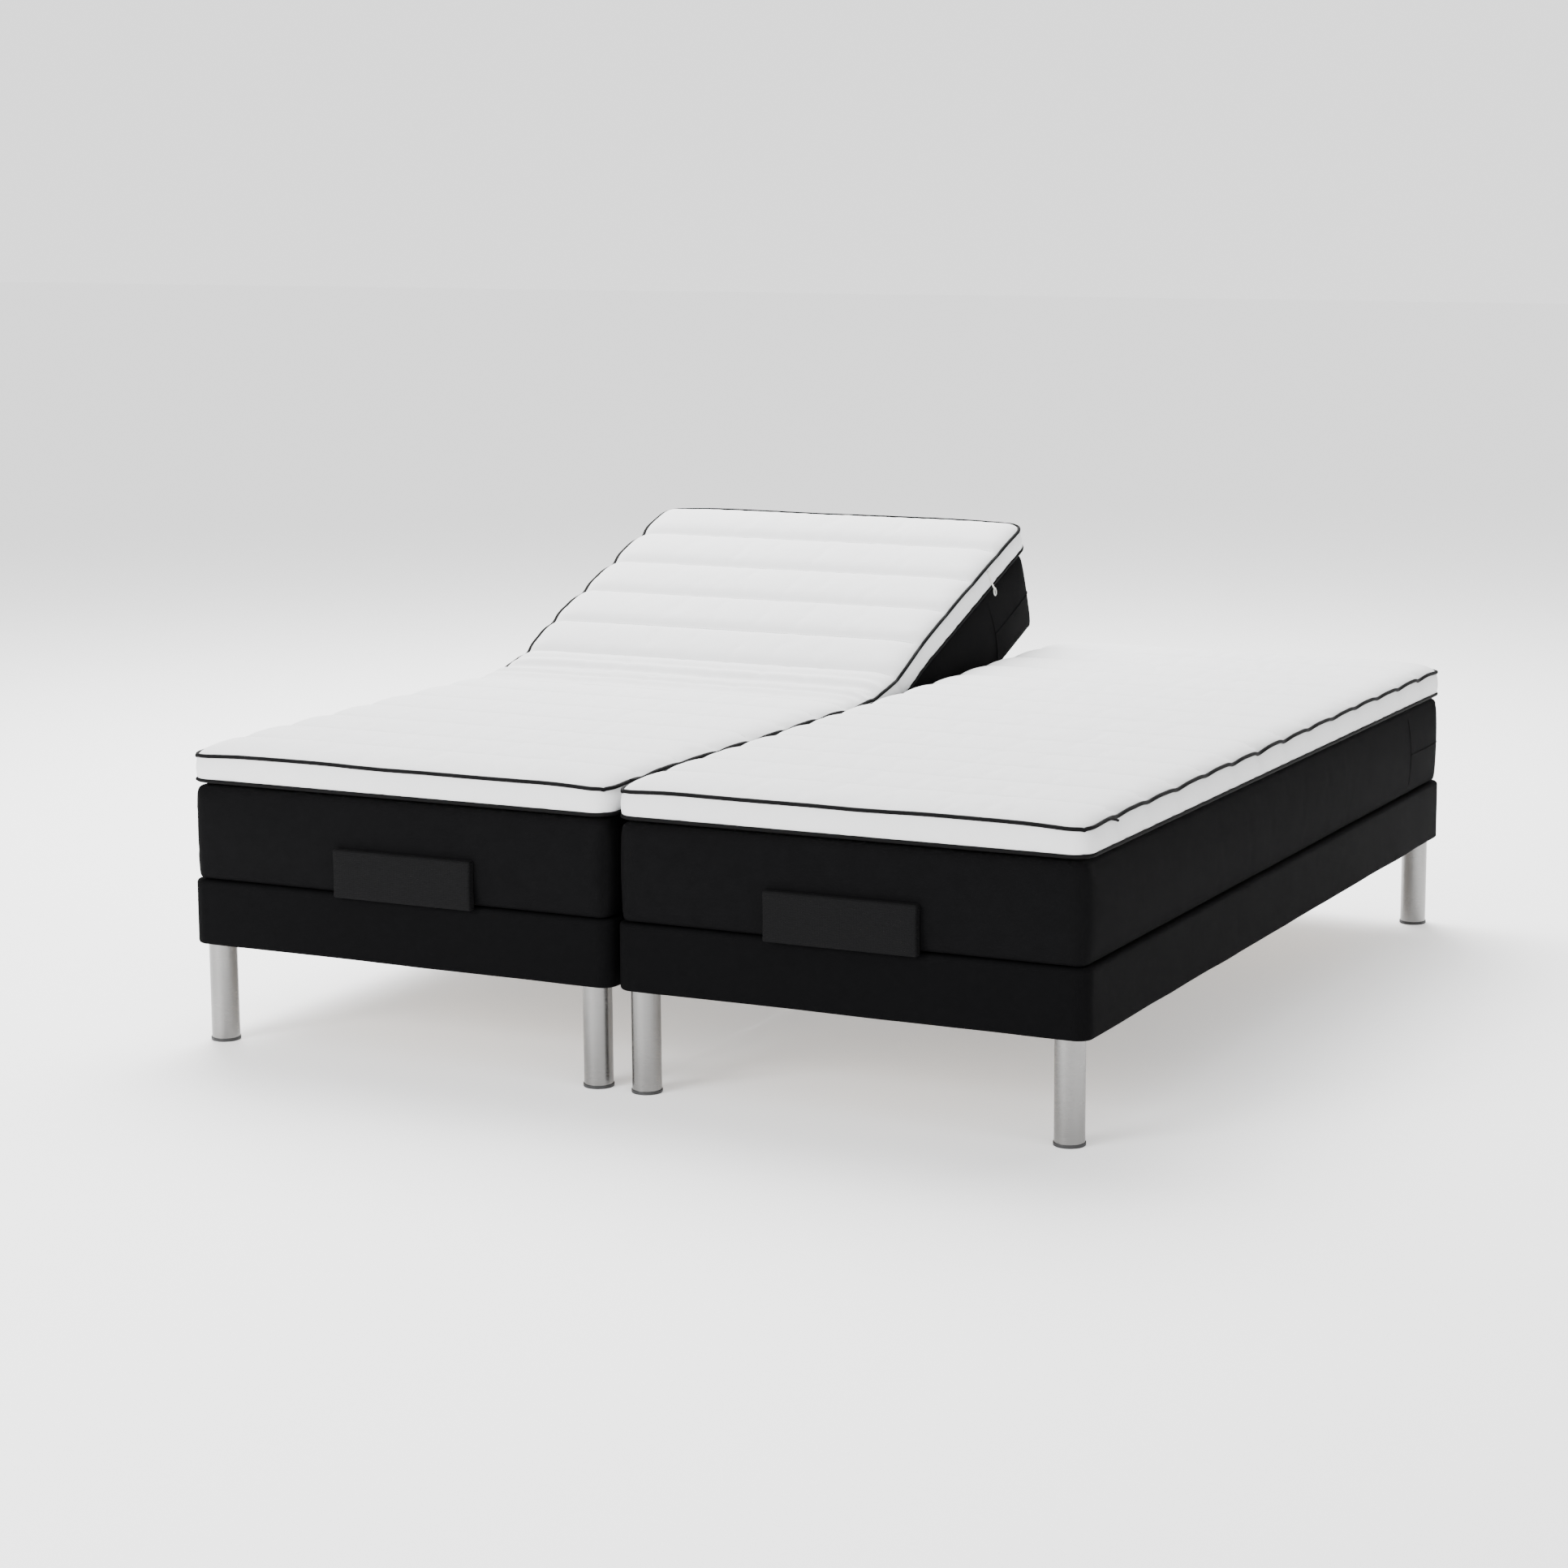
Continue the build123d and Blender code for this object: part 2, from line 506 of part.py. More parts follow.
def shared_nodes():
    """Nodes that hold the same small or fixed pieces of both units."""
    sides, ends, blocks = timber_box()
    glides, bolts = leg_glides(), leg_bolts()
    drilled = blocks
    for bolt in bolts:
        drilled = [piece - bolt for piece in drilled]
    return {
        "side_rails": across_units(lambda side: sides),
        "end_rails": across_units(lambda side: ends),
        "corner_blocks": across_units(lambda side: group(*drilled)),
        "leg_feet": across_units(lambda side: group(*glides)),
        "leg_bolts": across_units(lambda side: group(*bolts)),
        "link_plates": group(*link_plates()),
        "carrier_blocks": across_units(lambda side: group(*carrier_blocks())),
        "seat_slats": across_units(
            lambda side: group(*slat_row(THIGH_Y + THIGH_SLATS_GAP, BACK_Y - SLATS_END))),
        "hinge_pins": across_units(lambda side: group(*hinge_pins())),
        "control_boxes": across_units(lambda side: control_box()),
        "mattress_folds": across_units(
            lambda side: group(*folds(MATTRESS_WIDTH - 8, MATTRESS_Z, BACK_TILTS[side]))),
        "topper_folds": across_units(
            lambda side: group(*folds(TOPPER_WIDTH - 8, TOPPER_Z, BACK_TILTS[side]))),
    }


os.makedirs("parts", exist_ok=True)
everything = {name: shape.solids() for name, shape in shared_nodes().items()}
for side_name in SIDES:
    everything.update(unit_nodes(side_name))
for node, solids in everything.items():
    flat = [s for solid in solids for s in solid.solids()]
    export_step(flat[0] if len(flat) == 1 else Compound(children=flat), f"parts/{node}.step")
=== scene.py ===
import json
import math

import bpy
import numpy as np
from mathutils import Matrix, Vector, noise


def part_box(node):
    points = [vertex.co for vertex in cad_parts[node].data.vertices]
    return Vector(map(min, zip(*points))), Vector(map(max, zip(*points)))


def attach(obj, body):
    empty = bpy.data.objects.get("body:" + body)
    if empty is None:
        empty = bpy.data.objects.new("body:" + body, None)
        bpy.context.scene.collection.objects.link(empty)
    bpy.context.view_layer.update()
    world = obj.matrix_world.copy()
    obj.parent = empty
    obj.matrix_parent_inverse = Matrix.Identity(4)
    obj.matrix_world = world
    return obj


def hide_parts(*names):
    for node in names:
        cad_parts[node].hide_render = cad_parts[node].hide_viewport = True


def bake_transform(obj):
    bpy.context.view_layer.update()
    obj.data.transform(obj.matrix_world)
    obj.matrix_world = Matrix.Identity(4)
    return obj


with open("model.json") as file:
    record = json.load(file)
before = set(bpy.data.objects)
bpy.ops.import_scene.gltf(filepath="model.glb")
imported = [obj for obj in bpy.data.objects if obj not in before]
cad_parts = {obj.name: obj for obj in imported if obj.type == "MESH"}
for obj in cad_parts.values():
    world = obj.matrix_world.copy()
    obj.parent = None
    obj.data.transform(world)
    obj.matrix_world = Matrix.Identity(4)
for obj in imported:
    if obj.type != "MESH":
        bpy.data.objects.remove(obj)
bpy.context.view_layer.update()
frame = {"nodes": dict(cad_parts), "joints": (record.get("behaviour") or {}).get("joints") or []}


# ---- Camera ----
# A long lens stands low and well back from the foot of the bed, on its right-hand side. It is level
# to within a fraction of a degree.
CAMERA_PLACE = (3.0693, -6.3901, 1.6537)
LENS_MM, SENSOR_MM = 83.0, 36
scene = bpy.context.scene
camera_data = bpy.data.cameras.new("camera")
camera_data.sensor_width = SENSOR_MM
camera_data.lens = LENS_MM
camera_data.clip_end = 100
camera = bpy.data.objects.new("camera", camera_data)
scene.collection.objects.link(camera)
camera_azimuth, camera_elevation, camera_roll = (math.radians(a) for a in (26.8, 10.06, -0.39))
camera_turn = (Matrix.Rotation(camera_azimuth, 4, "Z")
               @ Matrix.Rotation(math.pi / 2 - camera_elevation, 4, "X")
               @ Matrix.Rotation(camera_roll, 4, "Z"))
camera.matrix_world = Matrix.Translation(CAMERA_PLACE) @ camera_turn
scene.camera = camera


# ---- Shader maths ----
# Every finish of the bed is made of nodes, so that its weave, grain or wear runs through the whole
# piece. Sums on their sockets are written here as plain sums.
class Thread:
    """One socket of a finish's nodes. Sums on it add Math nodes, and node() adds any other."""

    def __init__(self, tree, socket=None):
        self.tree = tree
        self.socket = socket

    def node(self, kind, settings=None, inputs=None, output=0):
        made = self.tree.nodes.new(kind)
        for name, value in (settings or {}).items():
            setattr(made, name, value)
        for place, value in (inputs or {}).items():
            if isinstance(value, Thread):
                self.tree.links.new(value.socket, made.inputs[place])
            else:
                made.inputs[place].default_value = value
        return Thread(self.tree, made.outputs[output])

    def maths(self, operation, first, second=0.0):
        return self.node("ShaderNodeMath", {"operation": operation}, {0: first, 1: second})

    def __add__(self, other):
        return self.maths("ADD", self, other)

    def __sub__(self, other):
        return self.maths("SUBTRACT", self, other)

    def __rsub__(self, other):
        return self.maths("SUBTRACT", other, self)

    def __mul__(self, other):
        return self.maths("MULTIPLY", self, other)

    __radd__ = __add__
    __rmul__ = __mul__

    def sine(self):
        return self.maths("SINE", self)

    def size(self):
        return self.maths("ABSOLUTE", self)

    def between(self, low, high, to_low=0.0, to_high=1.0):
        """Reads low..high as to_low..to_high, and holds it at the ends."""
        return self.node("ShaderNodeMapRange", {"clamp": True},
                         {0: self, 1: low, 2: high, 3: to_low, 4: to_high})

    def blend(self, first, second):
        """Colour that goes from first to second as this goes from 0 to 1."""
        return self.node("ShaderNodeMix", {"data_type": "RGBA"}, {0: self, 6: first, 7: second}, 2)

    def parts(self):
        """The X, Y and Z of a place."""
        split = self.tree.nodes.new("ShaderNodeSeparateXYZ")
        self.tree.links.new(self.socket, split.inputs[0])
        return [Thread(self.tree, out) for out in split.outputs]

    def speckle(self, scale, detail=2.0, roughness=0.5):
        return self.node("ShaderNodeTexNoise", {"noise_dimensions": "3D"},
                         {"Vector": self, "Scale": scale, "Detail": detail, "Roughness": roughness})

    def stretched(self, x, y, z):
        return self.node("ShaderNodeVectorMath", {"operation": "MULTIPLY"}, {0: self, 1: (x, y, z)})


def finish(name, paint, metallic=0.0, **fixed):
    """New material. paint(place, flat) gives its colour, roughness, bump height and bump distance."""
    material = bpy.data.materials.new(name)
    material.use_nodes = True
    tree = material.node_tree
    shader = tree.nodes["Principled BSDF"]
    start = Thread(tree)
    place = start.node("ShaderNodeTexCoord", output=3)
    flat = start.node("ShaderNodeAttribute", {"attribute_name": "flat"}, output=1)
    colour, roughness, height, distance = paint(place, flat)
    tree.links.new(colour.socket, shader.inputs["Base Color"])
    tree.links.new(roughness.socket, shader.inputs["Roughness"])
    bump = start.node("ShaderNodeBump", None, {"Strength": 1.0, "Distance": distance, "Height": height})
    tree.links.new(bump.socket, shader.inputs["Normal"])
    shader.inputs["Metallic"].default_value = metallic
    for socket, value in fixed.items():
        shader.inputs[socket.replace("_", " ")].default_value = value
    return material


def coat(material, *pieces):
    """Gives whole pieces or CAD nodes one finish."""
    for piece in pieces:
        while len(piece.material_slots) < 1:
            piece.data.materials.append(material)
        for holder in piece.material_slots:
            holder.link = "DATA"
            holder.material = material


# ---- Studio ----
# A pale floor that glows a little, a white surround with grey screens that draw dark edges on the
# steel, and three soft lights: a large one overhead, one from the front and a weak one from the right.
FLOOR_WIDTH, FLOOR_GLOW, SURROUND_STRENGTH = 60, 0.5, 1.8


def floor_paint(place, flat):
    grain = place.speckle(3.0)
    colour = grain.blend((0.955, 0.955, 0.955, 1), (0.975, 0.975, 0.975, 1))
    return colour, grain.between(0, 1, 0.6, 0.7), grain, 0.0


bpy.ops.object.select_all(action="DESELECT")
bpy.ops.mesh.primitive_plane_add(size=FLOOR_WIDTH, location=(0, 0, 0))
floor = bpy.context.object
floor.name = "studio_floor"
coat(finish("studio_floor", floor_paint, Emission_Color=(1, 1, 1, 1), Emission_Strength=FLOOR_GLOW), floor)

# Where the screens' edges fade in and out, in radians round from behind the camera.
SIDE_SCREEN_IN, SIDE_SCREEN_OUT = (0.95, 1.15), (2.0, 2.3)
REAR_SCREEN_OUT, REAR_SCREEN_DEPTH = (0.1, 0.35), 0.45

world = bpy.data.worlds.new("surround")
world.use_nodes = True
world_start = Thread(world.node_tree)
world_x, world_y = world_start.node("ShaderNodeTexCoord", output=0).parts()[:2]
behind_x, behind_y = math.sin(camera_azimuth), -math.cos(camera_azimuth)
behind = world_x * behind_x + world_y * behind_y
beside = world_x * -behind_y + world_y * behind_x
round_from_behind = world_start.maths("ARCTAN2", beside, behind).size()
side_screens = round_from_behind.between(*SIDE_SCREEN_IN)
side_screens = side_screens * round_from_behind.between(*SIDE_SCREEN_OUT, 1.0, 0.0)
screens = side_screens + round_from_behind.between(*REAR_SCREEN_OUT, REAR_SCREEN_DEPTH, 0.0)
shade = screens.blend((1, 1, 1, 1), (0.08, 0.08, 0.08, 1))
background = world.node_tree.nodes["Background"]
world.node_tree.links.new(shade.socket, background.inputs["Color"])
background.inputs["Strength"].default_value = SURROUND_STRENGTH
scene.world = world


def soft_light(name, place, target, size, power):
    data = bpy.data.lights.new(name, "AREA")
    data.shape = "RECTANGLE"
    data.size, data.size_y = size
    data.energy = power
    light = bpy.data.objects.new(name, data)
    light.location = place
    light.rotation_mode = "QUATERNION"
    light.rotation_quaternion = (Vector(target) - Vector(place)).to_track_quat("-Z", "Y")
    scene.collection.objects.link(light)


soft_light("overhead", (-1.6, 2.2, 4.4), (0, 0, 0.3), (4.0, 4.0), 860)
soft_light("from_front", (-1.8, -5.2, 2.2), (0, -0.4, 0.3), (2.5, 1.6), 260)
soft_light("from_right", (5.0, -1.5, 2.0), (0.4, 0, 0.3), (1.6, 3.0), 12)


# ---- Legs, glides and plastic housings ----
# Each unit stands on four brushed stainless tubes, screwed up into its corner blocks, with a black
# glide under each. The motor housings and control boxes are black plastic with a fine moulded grain.
def steel_paint(place, flat):
    lines = place.stretched(40, 40, 2600).speckle(1.0, 3.0, 0.6)
    clouds = place.speckle(18.0, 3.0)
    colour = (lines * 0.6 + clouds * 0.4).blend((0.17, 0.168, 0.165, 1), (0.29, 0.286, 0.28, 1))
    return colour, (lines * 0.5 + clouds * 0.5).between(0.2, 0.8, 0.20, 0.32), lines, 0.00008


def moulded_paint(place, flat):
    grain = place.speckle(900.0, 2.0)
    dust = place.speckle(14.0, 3.0)
    colour = dust.blend((0.012, 0.012, 0.013, 1), (0.026, 0.026, 0.027, 1))
    return colour, dust.between(0, 1, 0.42, 0.6), grain, 0.0002


leg_steel = finish("leg_steel", steel_paint, 1.0)
black_plastic = finish("black_plastic", moulded_paint)
nodes = frame["nodes"]
coat(leg_steel, nodes["left_legs"], nodes["right_legs"])
coat(black_plastic, *(nodes[n] for n in ("leg_feet", "control_boxes", "left_motor_unit", "right_motor_unit")))


# ---- Timber box, slats and steel mechanism inside each base ----
# Sawn rails and corner blocks, lacquered beech slats, black powder-coated tubes, zinc pins and plates
# and nylon pads: all of them are the CAD pieces themselves, with their real finishes.
def timber_paint(place, flat):
    rings = (place.stretched(9, 1.2, 30).speckle(1.0, 6.0, 0.65) * 34.0).sine().between(-1, 1)
    pores = place.stretched(300, 24, 300).speckle(1.0, 3.0)
    colour = (rings * 0.6 + pores * 0.4).blend((0.36, 0.28, 0.18, 1), (0.50, 0.41, 0.28, 1))
    return colour, pores.between(0, 1, 0.6, 0.8), pores, 0.0004


def beech_paint(place, flat):
    grain = place.stretched(5, 150, 150).speckle(1.0, 5.0, 0.6)
    flecks = place.stretched(60, 700, 700).speckle(1.0, 2.0).between(0.56, 0.72)
    colour = (grain * 0.75 + flecks * 0.3).blend((0.46, 0.34, 0.21, 1), (0.60, 0.47, 0.32, 1))
    return colour, grain.between(0, 1, 0.32, 0.5), grain, 0.0002


def powder_paint(place, flat):
    peel = place.speckle(700.0, 1.0)
    wear = place.speckle(25.0, 4.0)
    colour = wear.blend((0.018, 0.018, 0.02, 1), (0.035, 0.035, 0.038, 1))
    return colour, wear.between(0, 1, 0.35, 0.55), peel, 0.0002


def zinc_paint(place, flat):
    spangle = place.speckle(160.0, 2.0)
    colour = spangle.blend((0.55, 0.57, 0.60, 1), (0.72, 0.73, 0.74, 1))
    return colour, spangle.between(0, 1, 0.28, 0.45), spangle, 0.0001


def nylon_paint(place, flat):
    haze = place.speckle(120.0, 2.0)
    colour = haze.blend((0.70, 0.70, 0.65, 1), (0.78, 0.78, 0.74, 1))
    return colour, haze.between(0, 1, 0.4, 0.55), haze, 0.0001


timber = finish("timber", timber_paint)
beech = finish("slat_beech", beech_paint, Coat_Weight=0.25)
powder_coat = finish("frame_steel", powder_paint)
zinc = finish("zinc_steel", zinc_paint, 1.0)
nylon = finish("nylon", nylon_paint)
coat(timber, *(nodes[n] for n in ("side_rails", "end_rails", "corner_blocks", "carrier_blocks")))
coat(zinc, *(nodes[n] for n in (
    "leg_bolts", "link_plates", "hinge_pins", "left_knee_pins", "right_knee_pins")))
coat(beech, nodes["seat_slats"])
for side in ("left", "right"):
    coat(beech, *(nodes[f"{side}_{part}_slats"] for part in ("back", "thigh", "calf")))
    coat(powder_coat, *(nodes[f"{side}_{part}"] for part in (
        "mechanism_frame", "back_frame", "thigh_frame", "calf_frame", "back_lift", "leg_lift")))
    coat(nylon, nodes[f"{side}_back_lift_pads"], nodes[f"{side}_leg_lift_pads"])


# ---- Base covers ----
# Black woven fabric, stretched round the timber box of each unit, turned in over the top of its rails
# and stapled out of sight. The right cover is shaped, and the left one is its copy.
COVER_CORNER, TURN_IN, FABRIC_THICKNESS = 0.029, 0.024, 0.0012
TOP_HEM, TOP_ROUND = -0.045, 0.0085
BOTTOM_HEM, BOTTOM_ROUND = 0.004, 0.006
COVER_CELL, COVER_ROW = 0.04, 0.025
BASE_WEAVE = 0.0016


def woven(place, pitch):
    """Plain weave on upright faces: threads that run up, and threads that run along."""
    x, y, z = place.parts()
    wander = place.speckle(30.0, 2.0) * 0.6
    along = ((x + y) * (2 * math.pi / pitch) + wander).sine()
    up = (z * (2 * math.pi / pitch) + wander).sine()
    return along * up * 0.5 + 0.5


def base_paint(place, flat):
    threads = woven(place, BASE_WEAVE)
    mottle = place.speckle(55.0, 4.0, 0.7)
    colour = (mottle * 0.7 + threads * 0.3).blend((0.0018, 0.0018, 0.002, 1), (0.0044, 0.0044, 0.0048, 1))
    return colour, mottle.between(0, 1, 0.72, 0.9), threads * 0.7 + mottle * 0.6, 0.0006


base_fabric = finish("base_fabric", base_paint, Specular_IOR_Level=0.03)


def take_up(piece):
    """Selects one piece alone."""
    bpy.ops.object.select_all(action="DESELECT")
    piece.select_set(True)
    bpy.context.view_layer.objects.active = piece


def block(name, middle, size):
    """A plain box at its size and place, ready to be shaped."""
    bpy.ops.object.select_all(action="DESELECT")
    bpy.ops.mesh.primitive_cube_add(size=1, location=middle, scale=size)
    piece = bpy.context.object
    piece.name = name
    bpy.ops.object.transform_apply(location=True, rotation=True, scale=True)
    return piece


def edit_with(piece, kind, wanted):
    """Opens a piece for editing with only the wanted faces or edges selected."""
    take_up(piece)
    mesh = piece.data
    for parts in (mesh.vertices, mesh.edges, mesh.polygons):
        parts.foreach_set("select", np.zeros(len(parts), bool))
    if kind == "FACE":
        mesh.polygons.foreach_set("select", [bool(wanted(f.center, f.normal)) for f in mesh.polygons])
    else:
        ends = [(mesh.vertices[e.vertices[0]].co, mesh.vertices[e.vertices[1]].co) for e in mesh.edges]
        mesh.edges.foreach_set("select", [bool(wanted(a, b)) for a, b in ends])
    scene.tool_settings.mesh_select_mode = (False, kind == "EDGE", kind == "FACE")
    bpy.ops.object.mode_set(mode="EDIT")


def cut_at(axis, places):
    """Cuts the piece that is being edited straight through at each place along an axis."""
    normal = [0.0, 0.0, 0.0]
    normal["XYZ".index(axis)] = 1.0
    for value in places:
        bpy.ops.mesh.select_all(action="SELECT")
        bpy.ops.mesh.bisect(plane_co=[n * value for n in normal], plane_no=normal, threshold=1e-5)


def steps(low, high, pitch):
    """Evenly spaced places strictly between low and high, about a pitch apart."""
    count = max(1, round((high - low) / pitch))
    return [low + (high - low) * i / count for i in range(1, count)]


def face_outwards():
    """Turns every face of the piece that is being edited outwards, and closes the editing."""
    bpy.ops.mesh.select_all(action="SELECT")
    bpy.ops.mesh.normals_make_consistent(inside=False)
    bpy.ops.object.mode_set(mode="OBJECT")


def places_of(piece):
    """Every place of a piece's mesh, one to a row."""
    co = np.empty(len(piece.data.vertices) * 3)
    piece.data.vertices.foreach_get("co", co)
    return co.reshape(-1, 3)


def normals_of(piece):
    """The outward direction at every place of a piece's mesh."""
    normals = np.empty(len(piece.data.vertices) * 3)
    piece.data.vertices.foreach_get("normal", normals)
    return normals.reshape(-1, 3)


def set_places(piece, co):
    piece.data.vertices.foreach_set("co", np.asarray(co, np.float64).ravel())
    piece.data.update()


def rumple(co, scale, seed):
    """Smooth unevenness between -1 and 1 for each place."""
    return np.array([noise.noise(Vector(p) * scale + Vector((seed, 0, 0))) for p in co])


def copy_of(piece, name, shift=0.0):
    """A second piece with its own mesh, moved across the bed."""
    twin = piece.copy()
    twin.data = piece.data.copy()
    twin.name = name
    twin.data.name = name
    scene.collection.objects.link(twin)
    twin.data.transform(Matrix.Translation((shift, 0, 0)))
    return twin


UNIT_X = {"left": frame["joints"][0]["pos_m"][0], "right": -frame["joints"][0]["pos_m"][0]}
cover_low, cover_high = (Vector(c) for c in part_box("right_base_cover"))
cover_middle = (cover_low + cover_high) / 2
cover_size = cover_high - cover_low


def at_height(a, b, level):
    """Does an edge lie level at a height?"""
    return abs(a.z - level) < 1e-4 and abs(b.z - level) < 1e-4


def turned_in(p):
    """Is a place on the rim of the fabric that is turned in over the rails?"""
    half = cover_size / 2
    return all(abs(p[k] - cover_middle[k]) < half[k] - TURN_IN + 0.0005 for k in (0, 1))


def on_wall(p):
    """Is a place on the outer wall, straight or round?"""
    dx, dy = (abs(p[k] - cover_middle[k]) - (cover_size[k] / 2 - COVER_CORNER) for k in (0, 1))
    reach = math.hypot(max(dx, 0), max(dy, 0)) if dx > 0 and dy > 0 else max(dx, dy)
    return reach > COVER_CORNER - 0.0005


cover = block("right_base_upholstery", cover_middle, cover_size)
edit_with(cover, "EDGE", lambda a, b: abs(a.z - b.z) > 0.05)
bpy.ops.mesh.bevel(offset=COVER_CORNER, segments=8)
bpy.ops.object.mode_set(mode="OBJECT")
for level, up, hem, edge_round in (
        (cover_high.z, 1, TOP_HEM, TOP_ROUND), (cover_low.z, -1, BOTTOM_HEM, BOTTOM_ROUND)):
    edit_with(cover, "FACE", lambda c, n: n.z * up > 0.9)
    bpy.ops.mesh.inset(thickness=TURN_IN)
    bpy.ops.mesh.delete(type="FACE")
    bpy.ops.object.mode_set(mode="OBJECT")
    edit_with(cover, "EDGE", lambda a, b: at_height(a, b, level) and turned_in(a) and turned_in(b))
    bpy.ops.mesh.extrude_region_move(TRANSFORM_OT_translate={"value": (0, 0, hem)})
    bpy.ops.object.mode_set(mode="OBJECT")
    edit_with(cover, "EDGE", lambda a, b: at_height(a, b, level) and on_wall(a) and on_wall(b))
    bpy.ops.mesh.bevel(offset=edge_round, segments=4)
    bpy.ops.object.mode_set(mode="OBJECT")
edit_with(cover, "FACE", lambda c, n: True)
cut_at("X", steps(cover_low.x + COVER_CELL, cover_high.x - COVER_CELL, COVER_CELL))
cut_at("Y", steps(cover_low.y + COVER_CELL, cover_high.y - COVER_CELL, COVER_CELL))
cut_at("Z", steps(cover_low.z + 0.01, cover_high.z - 0.01, COVER_ROW))
face_outwards()


def soften(piece, depth, scale, seed):
    """Presses small unevenness into a cover along its normals."""
    co = places_of(piece)
    depth_here = depth * (rumple(co, scale, seed) - 0.6)
    set_places(piece, co + normals_of(piece) * depth_here[:, None])


def apply_modifiers(piece):
    take_up(piece)
    for modifier in list(piece.modifiers):
        bpy.ops.object.modifier_apply(modifier=modifier.name)


def smooth(piece, degrees=60):
    """Shades a piece smooth, with edges sharper than an angle left crisp."""
    take_up(piece)
    bpy.ops.object.shade_smooth_by_angle(angle=math.radians(degrees))


soften(cover, depth=0.0012, scale=9.0, seed=3.0)
skin = cover.modifiers.new("skin", "SOLIDIFY")
skin.thickness = FABRIC_THICKNESS
skin.offset = -1
apply_modifiers(cover)
smooth(cover, 50)
coat(base_fabric, cover)
left_cover = copy_of(cover, "left_base_upholstery", UNIT_X["left"] - UNIT_X["right"])
for side, piece in (("right", cover), ("left", left_cover)):
    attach(piece, "base")
    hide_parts(f"{side}_base_cover")


# ---- Mattresses ----
# A foam core in a black woven cover, sewn round its top edge and zipped round its head end. Each is
# made flat and swelled between its seams as cloth, then cut where the mechanism keeps it straight
# and laid over its sections, the left one bent over its raised back section.
MATTRESS_WEAVE = 0.0021


def mattress_paint(place, flat):
    threads = woven(place, MATTRESS_WEAVE)
    mottle = place.speckle(42.0, 4.0, 0.7)
    colour = (mottle * 0.75 + threads * 0.25).blend((0.0023, 0.0023, 0.0025, 1), (0.0056, 0.0056, 0.006, 1))
    return colour, mottle.between(0, 1, 0.78, 0.95), threads * 0.5 + mottle * 0.8, 0.0007


mattress_fabric = finish("mattress_fabric", mattress_paint, Specular_IOR_Level=0.03)
joint = {j["name"]: j for j in frame["joints"]}
BACK_HINGE = Vector(joint["right_back_tilt"]["pos_m"])
THIGH_HINGE = Vector(joint["right_thigh_tilt"]["pos_m"])
KNEE_HINGE = Vector(joint["right_knee_fold"]["pos_m"])
BACK_ANGLE = math.radians(-joint["left_back_tilt"]["range_deg"][0])
# How far to each side of a hinge the foam starts and ends its bend over it.
BACK_BEND = (-0.225, 0.265)
THIGH_BEND = (0.045, -0.195)
KNEE_BEND = (0.068, -0.080)
SWELL_FRAMES, BEND_ROUNDS = 20, 60


def flat_pad(name, width, y, z, cells):
    """Closed flat pad on an even grid of cells, centred on x = 0."""
    size = (width, y[1] - y[0], z[1] - z[0])
    bpy.ops.object.select_all(action="DESELECT")
    bpy.ops.mesh.primitive_grid_add(x_subdivisions=cells[0], y_subdivisions=cells[1], size=1,
                                    location=(0, (y[0] + y[1]) / 2, z[1]))
    pad = bpy.context.object
    pad.name = name
    pad.scale = (size[0], size[1], 1)
    bpy.ops.object.transform_apply(location=True, rotation=True, scale=True)
    edit_with(pad, "FACE", lambda c, n: True)
    bpy.ops.mesh.extrude_region_move(TRANSFORM_OT_translate={"value": (0, 0, -size[2])})
    cut_at("Z", steps(z[0], z[1], size[2] / cells[2]))
    face_outwards()
    return pad


def rounded_plan(co, half, middle, radius):
    """Draws the four upright corners in to a radius, with every ring of cells following."""
    across = np.abs(co[:, :2] - middle) - (half - radius)
    corner = (across > 0).all(axis=1)
    reach = across[corner].max(axis=1)
    length = np.hypot(*across[corner].T)
    drawn = across[corner] * (reach / length)[:, None]
    signs = np.sign(co[corner, :2] - middle)
    co[corner, :2] = middle + signs * (half - radius + drawn)
    return co


def swell(pad, held, pressure, slack, stiffness=15.0):
    """Blows a pad up as cloth between the places that its seams hold, with no weight on it."""
    group = pad.vertex_groups.new(name="held")
    for weight in np.unique(held):
        if weight > 0:
            group.add(np.nonzero(held == weight)[0].tolist(), float(weight), "REPLACE")
    cloth = pad.modifiers.new("cloth", "CLOTH")
    cloth.settings.quality = 6
    cloth.settings.use_pressure = True
    cloth.settings.uniform_pressure_force = pressure
    cloth.settings.shrink_min = -slack
    cloth.settings.tension_stiffness = stiffness
    cloth.settings.compression_stiffness = stiffness
    cloth.settings.bending_stiffness = 0.6
    cloth.settings.effector_weights.gravity = 0
    cloth.settings.vertex_group_mass = "held"
    cloth.collision_settings.use_collision = False
    for number in range(1, SWELL_FRAMES + 1):
        scene.frame_set(number)
    apply_modifiers(pad)
    scene.frame_set(1)


def hold_back(pad, before, cap):
    """Keeps every place of a swelled pad within a cap of where it started."""
    moved = places_of(pad) - before
    length = np.linalg.norm(moved, axis=1)
    moved *= np.minimum(1, cap / np.maximum(length, 1e-9))[:, None]
    set_places(pad, before + moved)


def subdivide(pad):
    """Splits every face in four, which rounds the pad between its cells."""
    divide = pad.modifiers.new("divide", "SUBSURF")
    divide.levels = divide.render_levels = 1
    apply_modifiers(pad)


def remember_flat(pad):
    """Stores where each place lies on the flat pad, which the weave and the stitches follow."""
    flat = pad.data.attributes.new("flat", "FLOAT_VECTOR", "POINT")
    flat.data.foreach_set("vector", places_of(pad).ravel())


